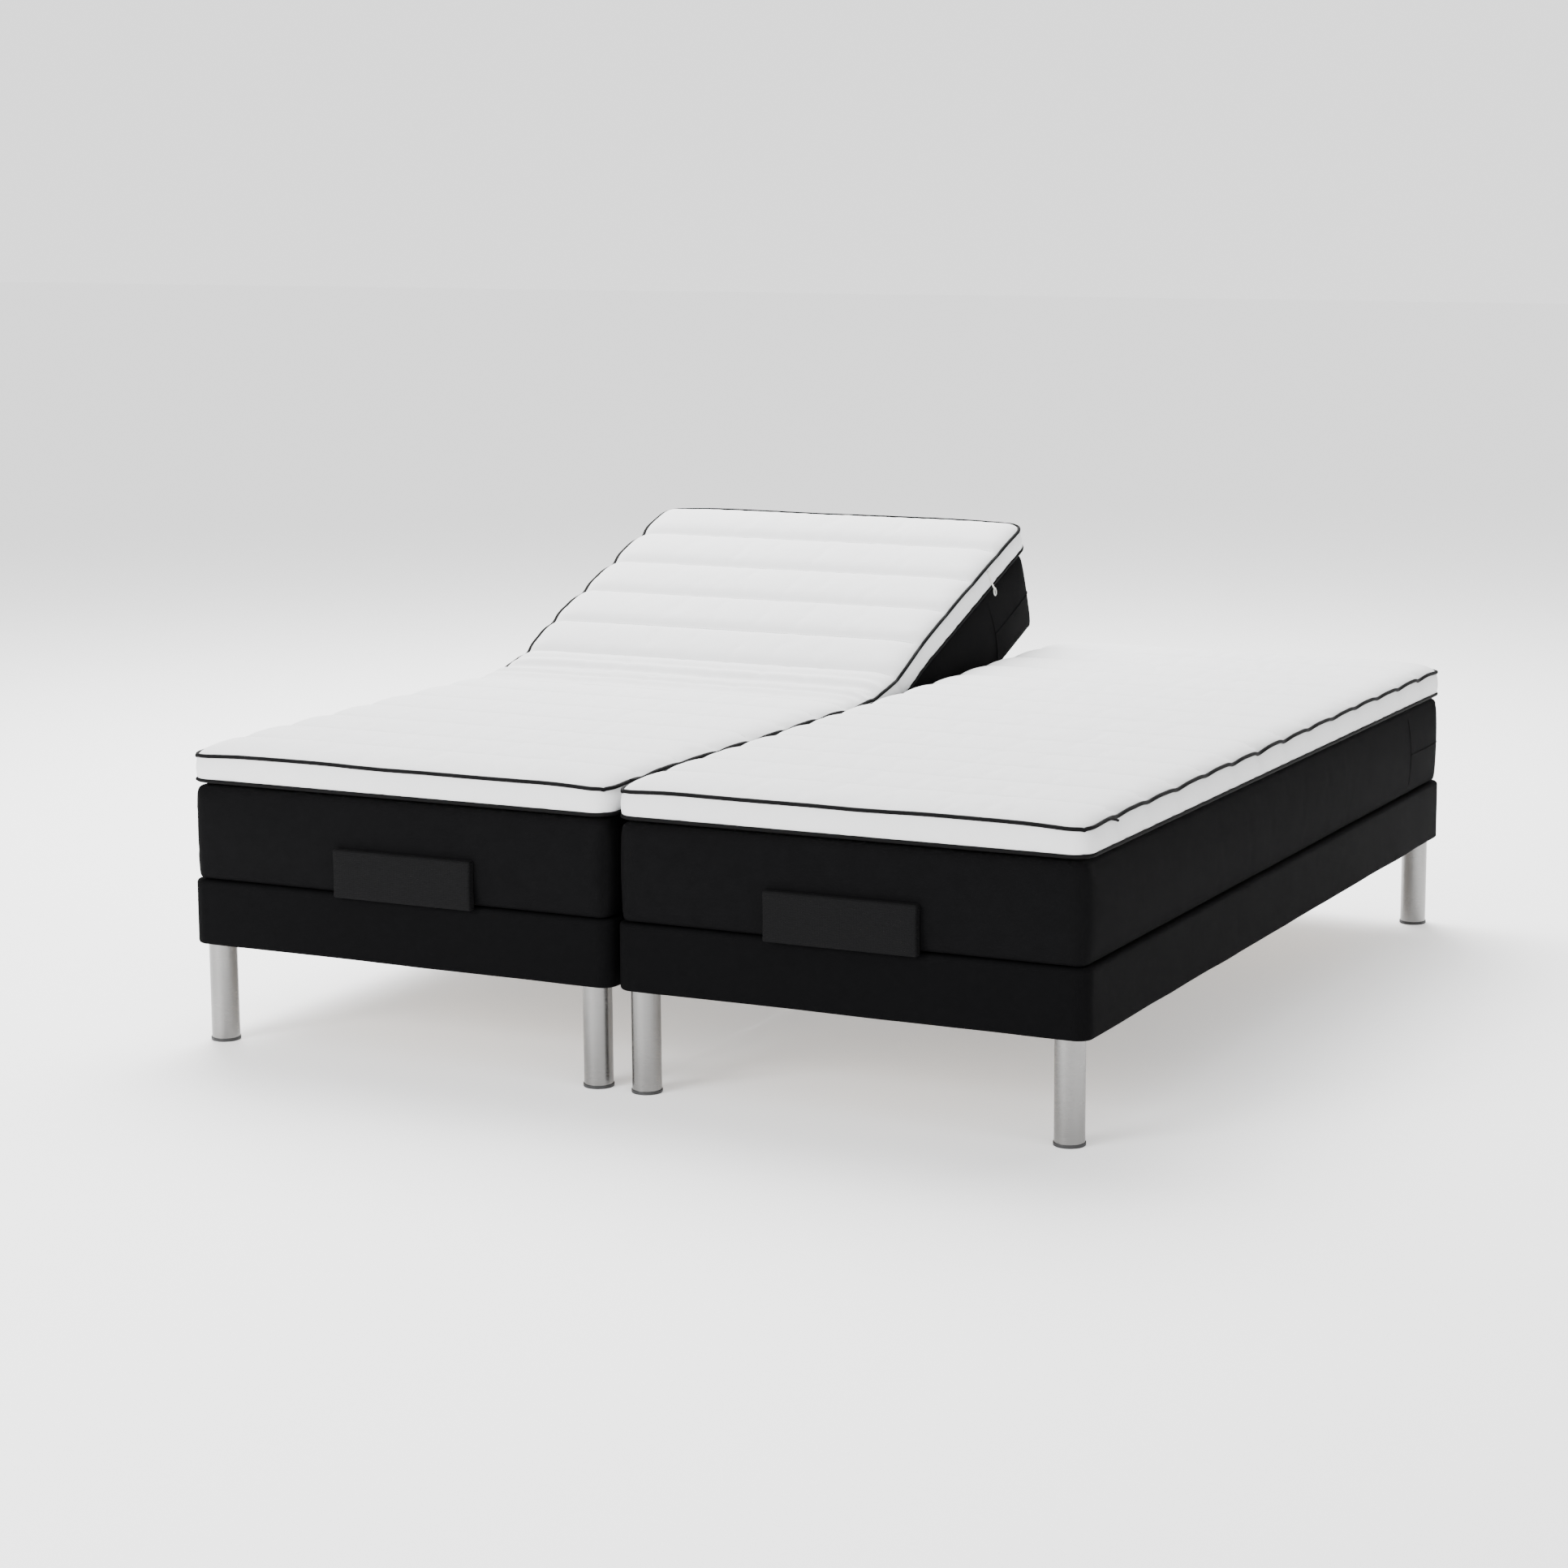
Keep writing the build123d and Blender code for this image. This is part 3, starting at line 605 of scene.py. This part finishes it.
def bend_line(hinge, bend, tilt=0.0):
    """Where a bend over a hinge starts and ends, on a line that leans by tilt."""
    way = Vector((0, math.cos(tilt), math.sin(tilt)))
    return hinge + way * bend[0], hinge + way * bend[1]


def raised(co):
    """Bends flat places to the raised angle of the left back section."""
    start, end = bend_line(BACK_HINGE, BACK_BEND, BACK_ANGLE / 2)
    line = np.array(end - start)[1:]
    arm = co[:, 1:] - np.array(BACK_HINGE)[1:]
    now = co[:, 1:].copy()
    for _ in range(BEND_ROUNDS):
        t = np.clip((now - np.array(start)[1:]) @ line / (line @ line), 0, 1)
        angle = BACK_ANGLE * t * t * (3 - 2 * t)
        turned_y = arm[:, 0] * np.cos(angle) - arm[:, 1] * np.sin(angle)
        turned_z = arm[:, 0] * np.sin(angle) + arm[:, 1] * np.cos(angle)
        now = np.stack([turned_y, turned_z], axis=1) + np.array(BACK_HINGE)[1:]
    return np.column_stack([co[:, 0], now])


def three_lengths(pad, cuts):
    """Cuts a pad across at two places and closes the ends: its head, middle and foot lengths."""
    lengths = []
    rest = pad
    for place in cuts:
        edit_with(rest, "FACE", lambda c, n: c.y > place)
        bpy.ops.mesh.separate(type="SELECTED")
        bpy.ops.object.mode_set(mode="OBJECT")
        lengths.append(next(o for o in bpy.context.selected_objects if o is not rest))
    lengths.append(rest)
    for length in lengths:
        edit_with(length, "FACE", lambda c, n: True)
        bpy.ops.mesh.fill_holes(sides=0)
        bpy.ops.object.mode_set(mode="OBJECT")
    return lengths


def on_the_hinges(pieces, side, ends):
    """Names the head, middle and foot lengths of something soft for one unit, and bakes their transforms."""
    tilt = BACK_ANGLE / 2 if side == "left" else 0.0
    bends = (("base", "back", BACK_HINGE, BACK_BEND, tilt),
             ("base", "thigh", THIGH_HINGE, THIGH_BEND, 0.0),
             ("thigh", "calf", KNEE_HINGE, KNEE_BEND, 0.0))
    for piece, end, (first, second, hinge, bend, lean) in zip(pieces, ends, bends):
        first = first if first == "base" else f"{side}_{first}"
        start, stop = bend_line(hinge, bend, lean)
        piece.name = f"{side}_{end}"
        piece.data.name = piece.name
        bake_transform(piece)


def fitted(pad, side, cuts=(), lift=None, mirrored=True):
    """A copy of a flat pad in its unit, cut into its lengths. The left one is bent to its raised back
    section.
    """
    unit = copy_of(pad, f"{side}_{pad.name}")
    co = places_of(unit)
    if side == "left":
        if mirrored:
            co[:, 0] *= -1
            unit.data.flip_normals()
        if lift:
            co = lift(co)
    set_places(unit, co)
    lengths = three_lengths(unit, cuts)
    for length in lengths:
        co = places_of(length)
        co = raised(co) if side == "left" else co
        set_places(length, co + np.array([UNIT_X[side], 0, 0]))
    return lengths


def tube_through(name, places, radius, closed=False):
    """Round cord through places, as a mesh."""
    curve = bpy.data.curves.new(name, "CURVE")
    curve.dimensions = "3D"
    curve.bevel_depth = radius
    curve.bevel_resolution = 3
    curve.use_fill_caps = not closed
    spline = curve.splines.new("POLY")
    spline.points.add(len(places) - 1)
    spline.points.foreach_set("co", [c for p in places for c in (*p, 1)])
    spline.use_cyclic_u = closed
    cord = bpy.data.objects.new(name, curve)
    scene.collection.objects.link(cord)
    take_up(cord)
    bpy.ops.object.convert(target="MESH")
    return bpy.context.object


mattress_low, mattress_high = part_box("right_mattress_calf")
mattress_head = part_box("right_mattress_head")[1][1]
mattress_half = np.array([(mattress_high[0] - mattress_low[0]) / 2, (mattress_head - mattress_low[1]) / 2])
mattress_middle = np.array([0, (mattress_head + mattress_low[1]) / 2])
mattress_z = (mattress_low[2] + 0.0005, mattress_high[2] - 0.002)
MATTRESS_CORNER, MATTRESS_EDGE, MATTRESS_UNDER_EDGE = 0.022, 0.016, 0.007
MATTRESS_CELLS = (58, 130, 12)
SWELL_ROOM, SWELL_CAP = 0.003, 0.006
SIDE_BELLY = 0.0028
WALL_DEPTH = 0.012
HALF_GAP = 0.0008
EDGE_SEAM_DROP, EDGE_SEAM_WIDTH, EDGE_SEAM_DEPTH = 0.013, 0.0022, 0.0013
mattress = flat_pad("mattress", 2 * (mattress_half[0] - SWELL_ROOM),
                    (mattress_low[1] + SWELL_ROOM, mattress_head - SWELL_ROOM), mattress_z, MATTRESS_CELLS)

# The square pad gets its rounded edges and corners, and a slight belly up its sides.
co = places_of(mattress)
inner = mattress_half - SWELL_ROOM - MATTRESS_EDGE
low = np.array([-inner[0], mattress_middle[1] - inner[1], mattress_z[0] + MATTRESS_UNDER_EDGE])
high = np.array([inner[0], mattress_middle[1] + inner[1], mattress_z[1] - MATTRESS_EDGE])
wall_height = (co[:, 2] - mattress_z[0]) / (mattress_z[1] - mattress_z[0])
on_edge_ring = (np.abs(co[:, :2] - mattress_middle) > mattress_half - SWELL_ROOM - 0.001).any(axis=1)
on_face = (co[:, 2] > mattress_z[1] - 1e-5) | (co[:, 2] < mattress_z[0] + 1e-5)
core = np.clip(co, low, high)
away = co - core
longest = np.abs(away).max(axis=1)
length = np.linalg.norm(away, axis=1)
co = core + away * np.where(length > 1e-9, longest / np.maximum(length, 1e-9), 1)[:, None]
co = rounded_plan(co, mattress_half - SWELL_ROOM, mattress_middle, MATTRESS_CORNER)
belly = np.sin(np.pi * np.clip(wall_height, 0, 1)) * on_edge_ring * ~on_face * SIDE_BELLY
outward = co - np.column_stack([np.clip(co[:, 0], -inner[0], inner[0]),
                                np.clip(co[:, 1], low[1], high[1]), co[:, 2]])
outward /= np.maximum(np.linalg.norm(outward, axis=1), 1e-9)[:, None]
co += outward * belly[:, None]
set_places(mattress, co)

# The cloth is held on its flat faces and at its upright corner seams, and kept off the other unit.
upright_seam = (np.abs(co[:, :2] - mattress_middle) > mattress_half - 0.013).all(axis=1)
held = np.where(on_face, 1.0, np.where(upright_seam, 0.9, 0.0))
swell(mattress, held, pressure=3.0, slack=0.0005, stiffness=40.0)
hold_back(mattress, co, SWELL_CAP)
co = places_of(mattress)
co[:, 0] *= (mattress_half[0] - HALF_GAP) / np.abs(co[:, 0]).max()
set_places(mattress, co)
subdivide(mattress)

# Long and short ripples run along the walls, and the seam round the top edge draws them in.
co = places_of(mattress)
near_wall = (np.abs(co[:, :2] - mattress_middle) > mattress_half - WALL_DEPTH).any(axis=1)
ripple = rumple(co * np.array([0.5, 0.5, 1.6]), 7.0, 11.0) * 0.0011 + rumple(co, 19.0, 5.0) * 0.0004 - 0.0012
push = co[:, :2] - mattress_middle
push = np.sign(push) * (np.abs(push) > mattress_half - WALL_DEPTH)
co[:, :2] += push * (ripple * near_wall)[:, None]
seam_height = mattress_z[1] - EDGE_SEAM_DROP
seam = np.exp(-((co[:, 2] - seam_height) / EDGE_SEAM_WIDTH) ** 2) * near_wall
co[:, :2] -= push * (seam * EDGE_SEAM_DEPTH)[:, None]
set_places(mattress, co)
remember_flat(mattress)

# The zip runs round the head end, and an upright seam stands at its start on the right-hand side.
ZIP_HEIGHT, ZIP_FROM_HEAD = 0.394, 0.22
ZIP_RADIUS, UPRIGHT_SEAM_RADIUS = 0.0014, 0.0009
zip_start = mattress_head - ZIP_FROM_HEAD
zip_half = mattress_half - MATTRESS_CORNER
zip_corner = [(math.cos(a), math.sin(a)) for a in np.linspace(0, math.pi / 2, 9)]
zip_plan = [(mattress_half[0], y) for y in np.linspace(zip_start, mattress_head - MATTRESS_CORNER, 24)]
zip_plan += [(zip_half[0] + MATTRESS_CORNER * c, mattress_head - MATTRESS_CORNER * (1 - s))
             for c, s in zip_corner]
zip_plan += [(x, mattress_head) for x in np.linspace(zip_half[0], 0, 50)]
zip_plan += [(-x, y) for x, y in reversed(zip_plan)]
zip_path = [mattress.closest_point_on_mesh((x, y, ZIP_HEIGHT))[1] for x, y in zip_plan]
seam_heights = np.linspace(mattress_z[0] + 0.02, mattress_z[1] - 0.016, 16)
seam_path = [mattress.closest_point_on_mesh((mattress_half[0], zip_start, z))[1] for z in seam_heights]
mattress_zip = tube_through("mattress_zip", zip_path, ZIP_RADIUS)
zip_seam = tube_through("mattress_zip_seam", seam_path, UPRIGHT_SEAM_RADIUS)

MATTRESS_CUTS = (-0.12, -0.41)
MATTRESS_NODES = ("mattress_head", "mattress_thigh", "mattress_calf")
for side in ("right", "left"):
    pieces = fitted(mattress, side, MATTRESS_CUTS)
    on_the_hinges(pieces, side, ("mattress_head_length", "mattress_middle_length", "mattress_foot_length"))
    for piece, node in zip(pieces, MATTRESS_NODES):
        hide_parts(f"{side}_{node}")
        coat(mattress_fabric, piece)
        smooth(piece)
    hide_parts(f"{side}_mattress_seat", "mattress_folds")
    for trim in (mattress_zip, zip_seam):
        piece = fitted(trim, side, mirrored=False)[0]
        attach(piece, f"{side}_back")
        coat(mattress_fabric, piece)
        smooth(piece)
for flat_piece in (mattress, mattress_zip, zip_seam):
    bpy.data.objects.remove(flat_piece)


# ---- Toppers ----
# White knitted pads with sewn channels across and a boxed side, with black piping round its top and
# bottom. The channels' seams pull the piping in and down, so that it waves along the sides. Made
# flat and swelled as cloth, as the mattresses are.
CHANNELS = 14
PIPING_Z = 0.5475
KNIT_ROW, KNIT_WALE, STITCH = 0.0026, 0.0021, 0.0066
topper_low, topper_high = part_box("right_topper_calf")
topper_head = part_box("right_topper_head")[1][1]
topper_half = np.array([(topper_high[0] - topper_low[0]) / 2, (topper_head - topper_low[1]) / 2]) - 0.0005
topper_middle = np.array([0, (topper_head + topper_low[1]) / 2])
topper_foot = topper_middle[1] - topper_half[1]
CHANNEL = 2 * topper_half[1] / CHANNELS
TOPPER_BASE = topper_low[2] + 0.0008


def topper_paint(place, flat):
    x, y, z = flat.parts()
    rows = ((x + z) * (2 * math.pi / KNIT_ROW)).sine()
    wales = ((y - z) * (2 * math.pi / KNIT_WALE)).sine()
    knit = rows * wales * 0.5 + 0.5
    fuzz = place.speckle(260.0, 3.0, 0.7)
    clouds = place.speckle(9.0, 3.0, 0.6)
    near_row = ((y - topper_foot) * (2 * math.pi / CHANNEL) + math.pi / 2).sine().between(0.9972, 0.9996)
    dash = (x * (2 * math.pi / STITCH)).sine().between(-0.9, -0.4)
    on_top = z.between(PIPING_Z + 0.001, PIPING_Z + 0.004)
    # Grey dashes along each channel's seam row on the top: the stitches, and painted shade standing in for
    # the shadow in the seam's groove.
    stitch_and_painted_shade = near_row * dash * on_top
    colour = (clouds * 0.4 + fuzz * 0.3 + knit * 0.3).blend((0.76, 0.765, 0.775, 1), (0.865, 0.865, 0.865, 1))
    # Painted shade: the dashes along the seam rows darken the white knit to grey, as if shaded in the groove.
    colour = (stitch_and_painted_shade * 0.55).blend(colour, (0.46, 0.465, 0.475, 1))
    height = knit * 0.35 + fuzz * 0.45 - stitch_and_painted_shade * 1.2
    return colour, (clouds * 0.5 + fuzz * 0.5).between(0, 1, 0.78, 0.96), height, 0.0007


def cord_paint(place, flat):
    twist = place.speckle(420.0, 3.0, 0.7)
    colour = twist.blend((0.0016, 0.0016, 0.0018, 1), (0.0048, 0.0048, 0.0052, 1))
    return colour, twist.between(0, 1, 0.6, 0.85), twist, 0.0005


topper_fabric = finish("topper_fabric", topper_paint,
                       Sheen_Weight=0.15, Sheen_Roughness=0.5, Specular_IOR_Level=0.25)
piping_fabric = finish("piping_fabric", cord_paint, Specular_IOR_Level=0.08)


def near_seam_row(y, width):
    """1 on a channel's seam, falling to 0 away from it."""
    phase = (y - topper_foot) / CHANNEL
    off_row = (phase - np.round(phase)) * CHANNEL
    inside = (phase > 0.5) & (phase < CHANNELS - 0.5)
    return np.exp(-(off_row / width) ** 2) * inside


CROWN_RISE, CHANNEL_PUFF = 0.0120, 0.0050
SEAM_PULL_IN, SEAM_PULL_DOWN = 0.0050, 0.0062
BOX_BELLY, BASE_TUCK = 0.0042, 0.0035
TOPPER_CORNER, CORNER_DROP = 0.034, 0.0045
topper = flat_pad("topper", 2 * topper_half[0], (topper_foot, topper_foot + CHANNEL * CHANNELS),
                  (TOPPER_BASE, PIPING_Z), (86, 14 * CHANNELS, 7))

# The square pad gets its crown and channels, the pull of their seams on its sides, and round corners.
co = places_of(topper)
on_top = co[:, 2] > PIPING_Z - 1e-5
on_base = co[:, 2] < TOPPER_BASE + 1e-5
from_edge = (topper_half - np.abs(co[:, :2] - topper_middle)).min(axis=1)
from_side = topper_half[0] - np.abs(co[:, 0])
at_edge = from_edge < 1e-4
seam_row = on_top & (near_seam_row(co[:, 1], 0.004) > 0.5)
height = (co[:, 2] - TOPPER_BASE) / (PIPING_Z - TOPPER_BASE)
rise = 1 - np.exp(-from_edge / 0.015)
puff = np.abs(np.sin(math.pi * (co[:, 1] - topper_foot) / CHANNEL)) ** 0.6
co[:, 2] += on_top * rise * (CROWN_RISE + CHANNEL_PUFF * puff)
uneven = 0.85 + 0.7 * rumple(co * [1, 1, 0], 3.1, 2.0)
pull = near_seam_row(co[:, 1], 0.026) * np.exp(-from_side / 0.024) * uneven
co[:, 0] -= np.sign(co[:, 0]) * pull * height * SEAM_PULL_IN
co[:, 2] -= pull * height * SEAM_PULL_DOWN
belly = np.sin(math.pi * np.clip(height, 0, 1)) * at_edge * BOX_BELLY
co[:, 0] += belly * np.sign(co[:, 0]) * (from_side < 1e-4)
co[:, 1] += belly * np.sign(co[:, 1] - topper_middle[1]) * (from_side > 1e-4)
wander = rumple(co * np.array([1, 1, 0.2]), 5.5, 8.0)
co[:, 2] += wander * np.exp(-from_edge / 0.02) * height * 0.0028
co = rounded_plan(co, topper_half, topper_middle, TOPPER_CORNER)
from_corner = np.hypot(*(topper_half - np.abs(co[:, :2] - topper_middle)).T)
co[:, 2] -= np.exp(-(from_corner / 0.075) ** 2) * height * CORNER_DROP
co[:, 2] += on_base * (at_edge * BASE_TUCK)
set_places(topper, co)
for name, ring in (("top_piping", on_top & at_edge), ("base_piping", on_base & at_edge)):
    topper.vertex_groups.new(name=name).add(np.nonzero(ring)[0].tolist(), 1.0, "REPLACE")
held = np.where(on_base | (on_top & at_edge), 1.0, np.where(seam_row, 0.97, 0.0))
swell(topper, held, pressure=4.0, slack=0.006)
hold_back(topper, co, cap=0.0075)
subdivide(topper)


def ring_of(pad, name):
    """The places of a named ring of a pad, in order round it."""
    group = pad.vertex_groups[name].index
    ring = [v.co.copy() for v in pad.data.vertices
            if any(g.group == group and g.weight > 0.99 for g in v.groups)]
    middle = Vector((*topper_middle, 0))
    half_x, half_y = topper_half
    return sorted(ring, key=lambda p: math.atan2((p - middle).y * half_x / half_y, (p - middle).x))


def piping_line(ring, outward, up):
    """The cord's line: a ring of the pad, moved out of its fabric and up by small steps."""
    round_in = TOPPER_CORNER + 0.001
    line = []
    for p in ring_of(topper, ring):
        inward = Vector((max(-topper_half[0] + round_in, min(topper_half[0] - round_in, p.x)),
                         max(topper_foot + round_in, min(topper_middle[1] + topper_half[1] - round_in, p.y)),
                         p.z))
        line.append(p + (p - inward).normalized() * outward + Vector((0, 0, up)))
    return line


PIPING_RADIUS, LAP_RADIUS = 0.0037, 0.0024
LAP_FROM_FOOT, LAP_LENGTH = 0.10, 0.034
top_line = piping_line("top_piping", 0.0022, -0.0004)
base_line = piping_line("base_piping", 0.0028, 0.0024)
cords = [tube_through("top_piping", top_line, PIPING_RADIUS, closed=True),
         tube_through("base_piping", base_line, PIPING_RADIUS, closed=True)]

# The top cord's ends lap near the foot corner, and one end is tucked down into the side.
joint_at = min(top_line, key=lambda p: abs(p.y - (topper_foot + LAP_FROM_FOOT)) + (p.x <= 0))
lap = [joint_at + Vector((0.0022 + 0.005 * t * t, LAP_LENGTH * (t - 0.5), 0.0006 - 0.007 * t * t))
       for t in np.linspace(0, 1, 12)]
piping_lap = tube_through("piping_lap", lap, LAP_RADIUS)

# The seams' grooves and the knit's fine creases are pressed into the top.
GROOVE_WIDTH, GROOVE_DEPTH = 0.0055, 0.0034
co = places_of(topper)
up = np.clip(normals_of(topper)[:, 2], 0, 1)
groove = near_seam_row(co[:, 1], GROOVE_WIDTH) * up * (co[:, 2] > PIPING_Z + 0.002)
creases = rumple(co * np.array([0.35, 1.0, 0.2]), 16.0, 4.0) * 0.0006 + rumple(co, 34.0, 9.0) * 0.0003
co[:, 2] += up * (creases - groove * GROOVE_DEPTH)
set_places(topper, co)
remember_flat(topper)


def raised_topper(co):
    """Bridges the left topper over its bend, deepens its channels there and wrinkles the inside of it."""
    over_bend = np.exp(-((co[:, 1] - 0.13) / 0.13) ** 2)
    toward_head = 1 / (1 + np.exp(-(co[:, 1] - 0.05) / 0.05))
    upper = np.clip((co[:, 2] - TOPPER_BASE) / (PIPING_Z - TOPPER_BASE), 0, 1.2)
    inner = np.clip((topper_half[0] - np.abs(co[:, 0])) / 0.03, 0, 1)
    lifted = co.copy()
    lifted[:, 2] += over_bend * 0.009
    lifted[:, 2] -= near_seam_row(co[:, 1], 0.016) * toward_head * upper ** 2 * inner * 0.0038
    waves = np.sin(2 * math.pi * co[:, 1] / 0.047 + rumple(co * np.array([1, 0, 0]), 4.0, 7.0) * 1.6)
    lifted[:, 2] += waves * over_bend ** 2 * upper ** 2 * inner * 0.0034
    lifted[:, 1] += toward_head * 0.016
    return lifted


TOPPER_CUTS = tuple(topper_foot + CHANNEL * k for k in (6, 4))
TOPPER_NODES = ("topper_head", "topper_thigh", "topper_calf")
for side in ("right", "left"):
    pieces = fitted(topper, side, TOPPER_CUTS, raised_topper)
    on_the_hinges(pieces, side, ("topper_head_length", "topper_middle_length", "topper_foot_length"))
    for piece, node in zip(pieces, TOPPER_NODES):
        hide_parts(f"{side}_{node}")
        coat(topper_fabric, piece)
        smooth(piece)
    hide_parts(f"{side}_topper_seat", "topper_folds")
    for cord in cords:
        pieces = fitted(cord, side, TOPPER_CUTS, raised_topper)
        on_the_hinges(pieces, side, [f"{cord.name}_{end}" for end in ("head", "middle", "foot")])
        for piece in pieces:
            coat(piping_fabric, piece)
            smooth(piece)
    piece = fitted(piping_lap, side, mirrored=False)[0]
    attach(piece, f"{side}_calf")
    coat(piping_fabric, piece)
    smooth(piece)


# ---- Zip pulls ----
# A nylon loop on a short tape hangs from the slider at the end of each topper's zip, on the side
# towards the other unit. The slider is a small moulded block with rounded edges.
PULL_Y, PULL_Z = 0.7875, 0.533
TAPE_RADIUS, PULL_RADIUS = 0.0018, 0.0013
SLIDER_SIZE, SLIDER_ROUND = (0.0034, 0.0075, 0.0095), 0.0012
wall = topper.closest_point_on_mesh((-topper_half[0] - 0.01, PULL_Y, PULL_Z))[1]
tape = [wall + Vector((-0.0022 - 0.0050 * t * t, 0.004 * t, -0.036 * t)) for t in np.linspace(0, 1, 10)]
loop = [tape[-1] + Vector((-0.0006, 0.0055 * math.sin(a), -0.0075 + 0.0085 * math.cos(a)))
        for a in np.linspace(0, 2 * math.pi, 28, endpoint=False)]
zip_tape = tube_through("zip_tape", tape, TAPE_RADIUS)
zip_pull = tube_through("zip_pull", loop, PULL_RADIUS, closed=True)
zip_slider = block("zip_slider", wall + Vector((-0.0014, 0, 0.002)), SLIDER_SIZE)
edit_with(zip_slider, "EDGE", lambda a, b: True)
bpy.ops.mesh.bevel(offset=SLIDER_ROUND, segments=3)
bpy.ops.object.mode_set(mode="OBJECT")
for side in ("right", "left"):
    for trim in (zip_tape, zip_pull, zip_slider):
        piece = fitted(trim, side, (), raised_topper)[0]
        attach(piece, f"{side}_back")
        coat(nylon, piece)
        smooth(piece)
for flat_piece in (topper, *cords, piping_lap, zip_tape, zip_pull, zip_slider):
    bpy.data.objects.remove(flat_piece)


# ---- Foot panels ----
# Low padded boards in a coarser, lined weave, fixed to the foot end of each calf section to keep the
# mattress in place. The front is slightly crowned, and the ends draw in between their corners.
PANEL_COURSE, PANEL_WALE = 0.0026, 0.0032
PANEL_EDGE, PANEL_CROWN, PANEL_WAIST = 0.0045, 0.0016, 0.0012


def panel_paint(place, flat):
    x, y, z = place.parts()
    slubs = place.stretched(24, 24, 520).speckle(1.0, 3.0, 0.6)
    courses = (z * (2 * math.pi / PANEL_COURSE) + slubs * 1.2).sine() * 0.5 + 0.5
    wales = ((x + y) * (2 * math.pi / PANEL_WALE) + slubs * 1.0).sine() * 0.5 + 0.5
    threads = courses * 0.65 + wales * 0.35
    colour = (slubs * 0.6 + threads * 0.4).blend((0.0024, 0.0024, 0.0026, 1), (0.0066, 0.0066, 0.007, 1))
    return colour, slubs.between(0, 1, 0.75, 0.95), threads * 0.7 + slubs * 0.5, 0.0008


panel_fabric = finish("panel_fabric", panel_paint, Specular_IOR_Level=0.08)
panel_low, panel_high = (Vector(c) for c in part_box("right_retainer_panel"))
panel_middle = (panel_low + panel_high) / 2
panel = block("right_foot_panel", panel_middle, panel_high - panel_low)
edit_with(panel, "EDGE", lambda a, b: True)
bpy.ops.mesh.bevel(offset=PANEL_EDGE, segments=4)
cut_at("X", steps(panel_low.x + 0.006, panel_high.x - 0.006, 0.008))
cut_at("Z", steps(panel_low.z + 0.006, panel_high.z - 0.006, 0.008))
face_outwards()
co = places_of(panel)
across = (co[:, 0] - panel_low.x) / (panel_high.x - panel_low.x)
up = (co[:, 2] - panel_low.z) / (panel_high.z - panel_low.z)
front = np.clip((panel_middle.y - co[:, 1]) / 0.004, 0, 1)
crown = np.clip(np.sin(math.pi * across) * np.sin(math.pi * up), 0, 1) ** 0.35
co[:, 1] -= front * (crown * PANEL_CROWN + rumple(co, 22.0, 6.0) * 0.0004)
waist = np.sin(math.pi * up) * np.abs(across * 2 - 1) ** 8 * PANEL_WAIST
co[:, 0] -= np.sign(across - 0.5) * waist
set_places(panel, co)
smooth(panel)
coat(panel_fabric, panel)
left_panel_x = sum(c[0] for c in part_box("left_retainer_panel")) / 2
left_panel = copy_of(panel, "left_foot_panel", left_panel_x - panel_middle.x)
for side, piece in (("right", panel), ("left", left_panel)):
    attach(piece, f"{side}_calf")
    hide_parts(f"{side}_retainer_panel")
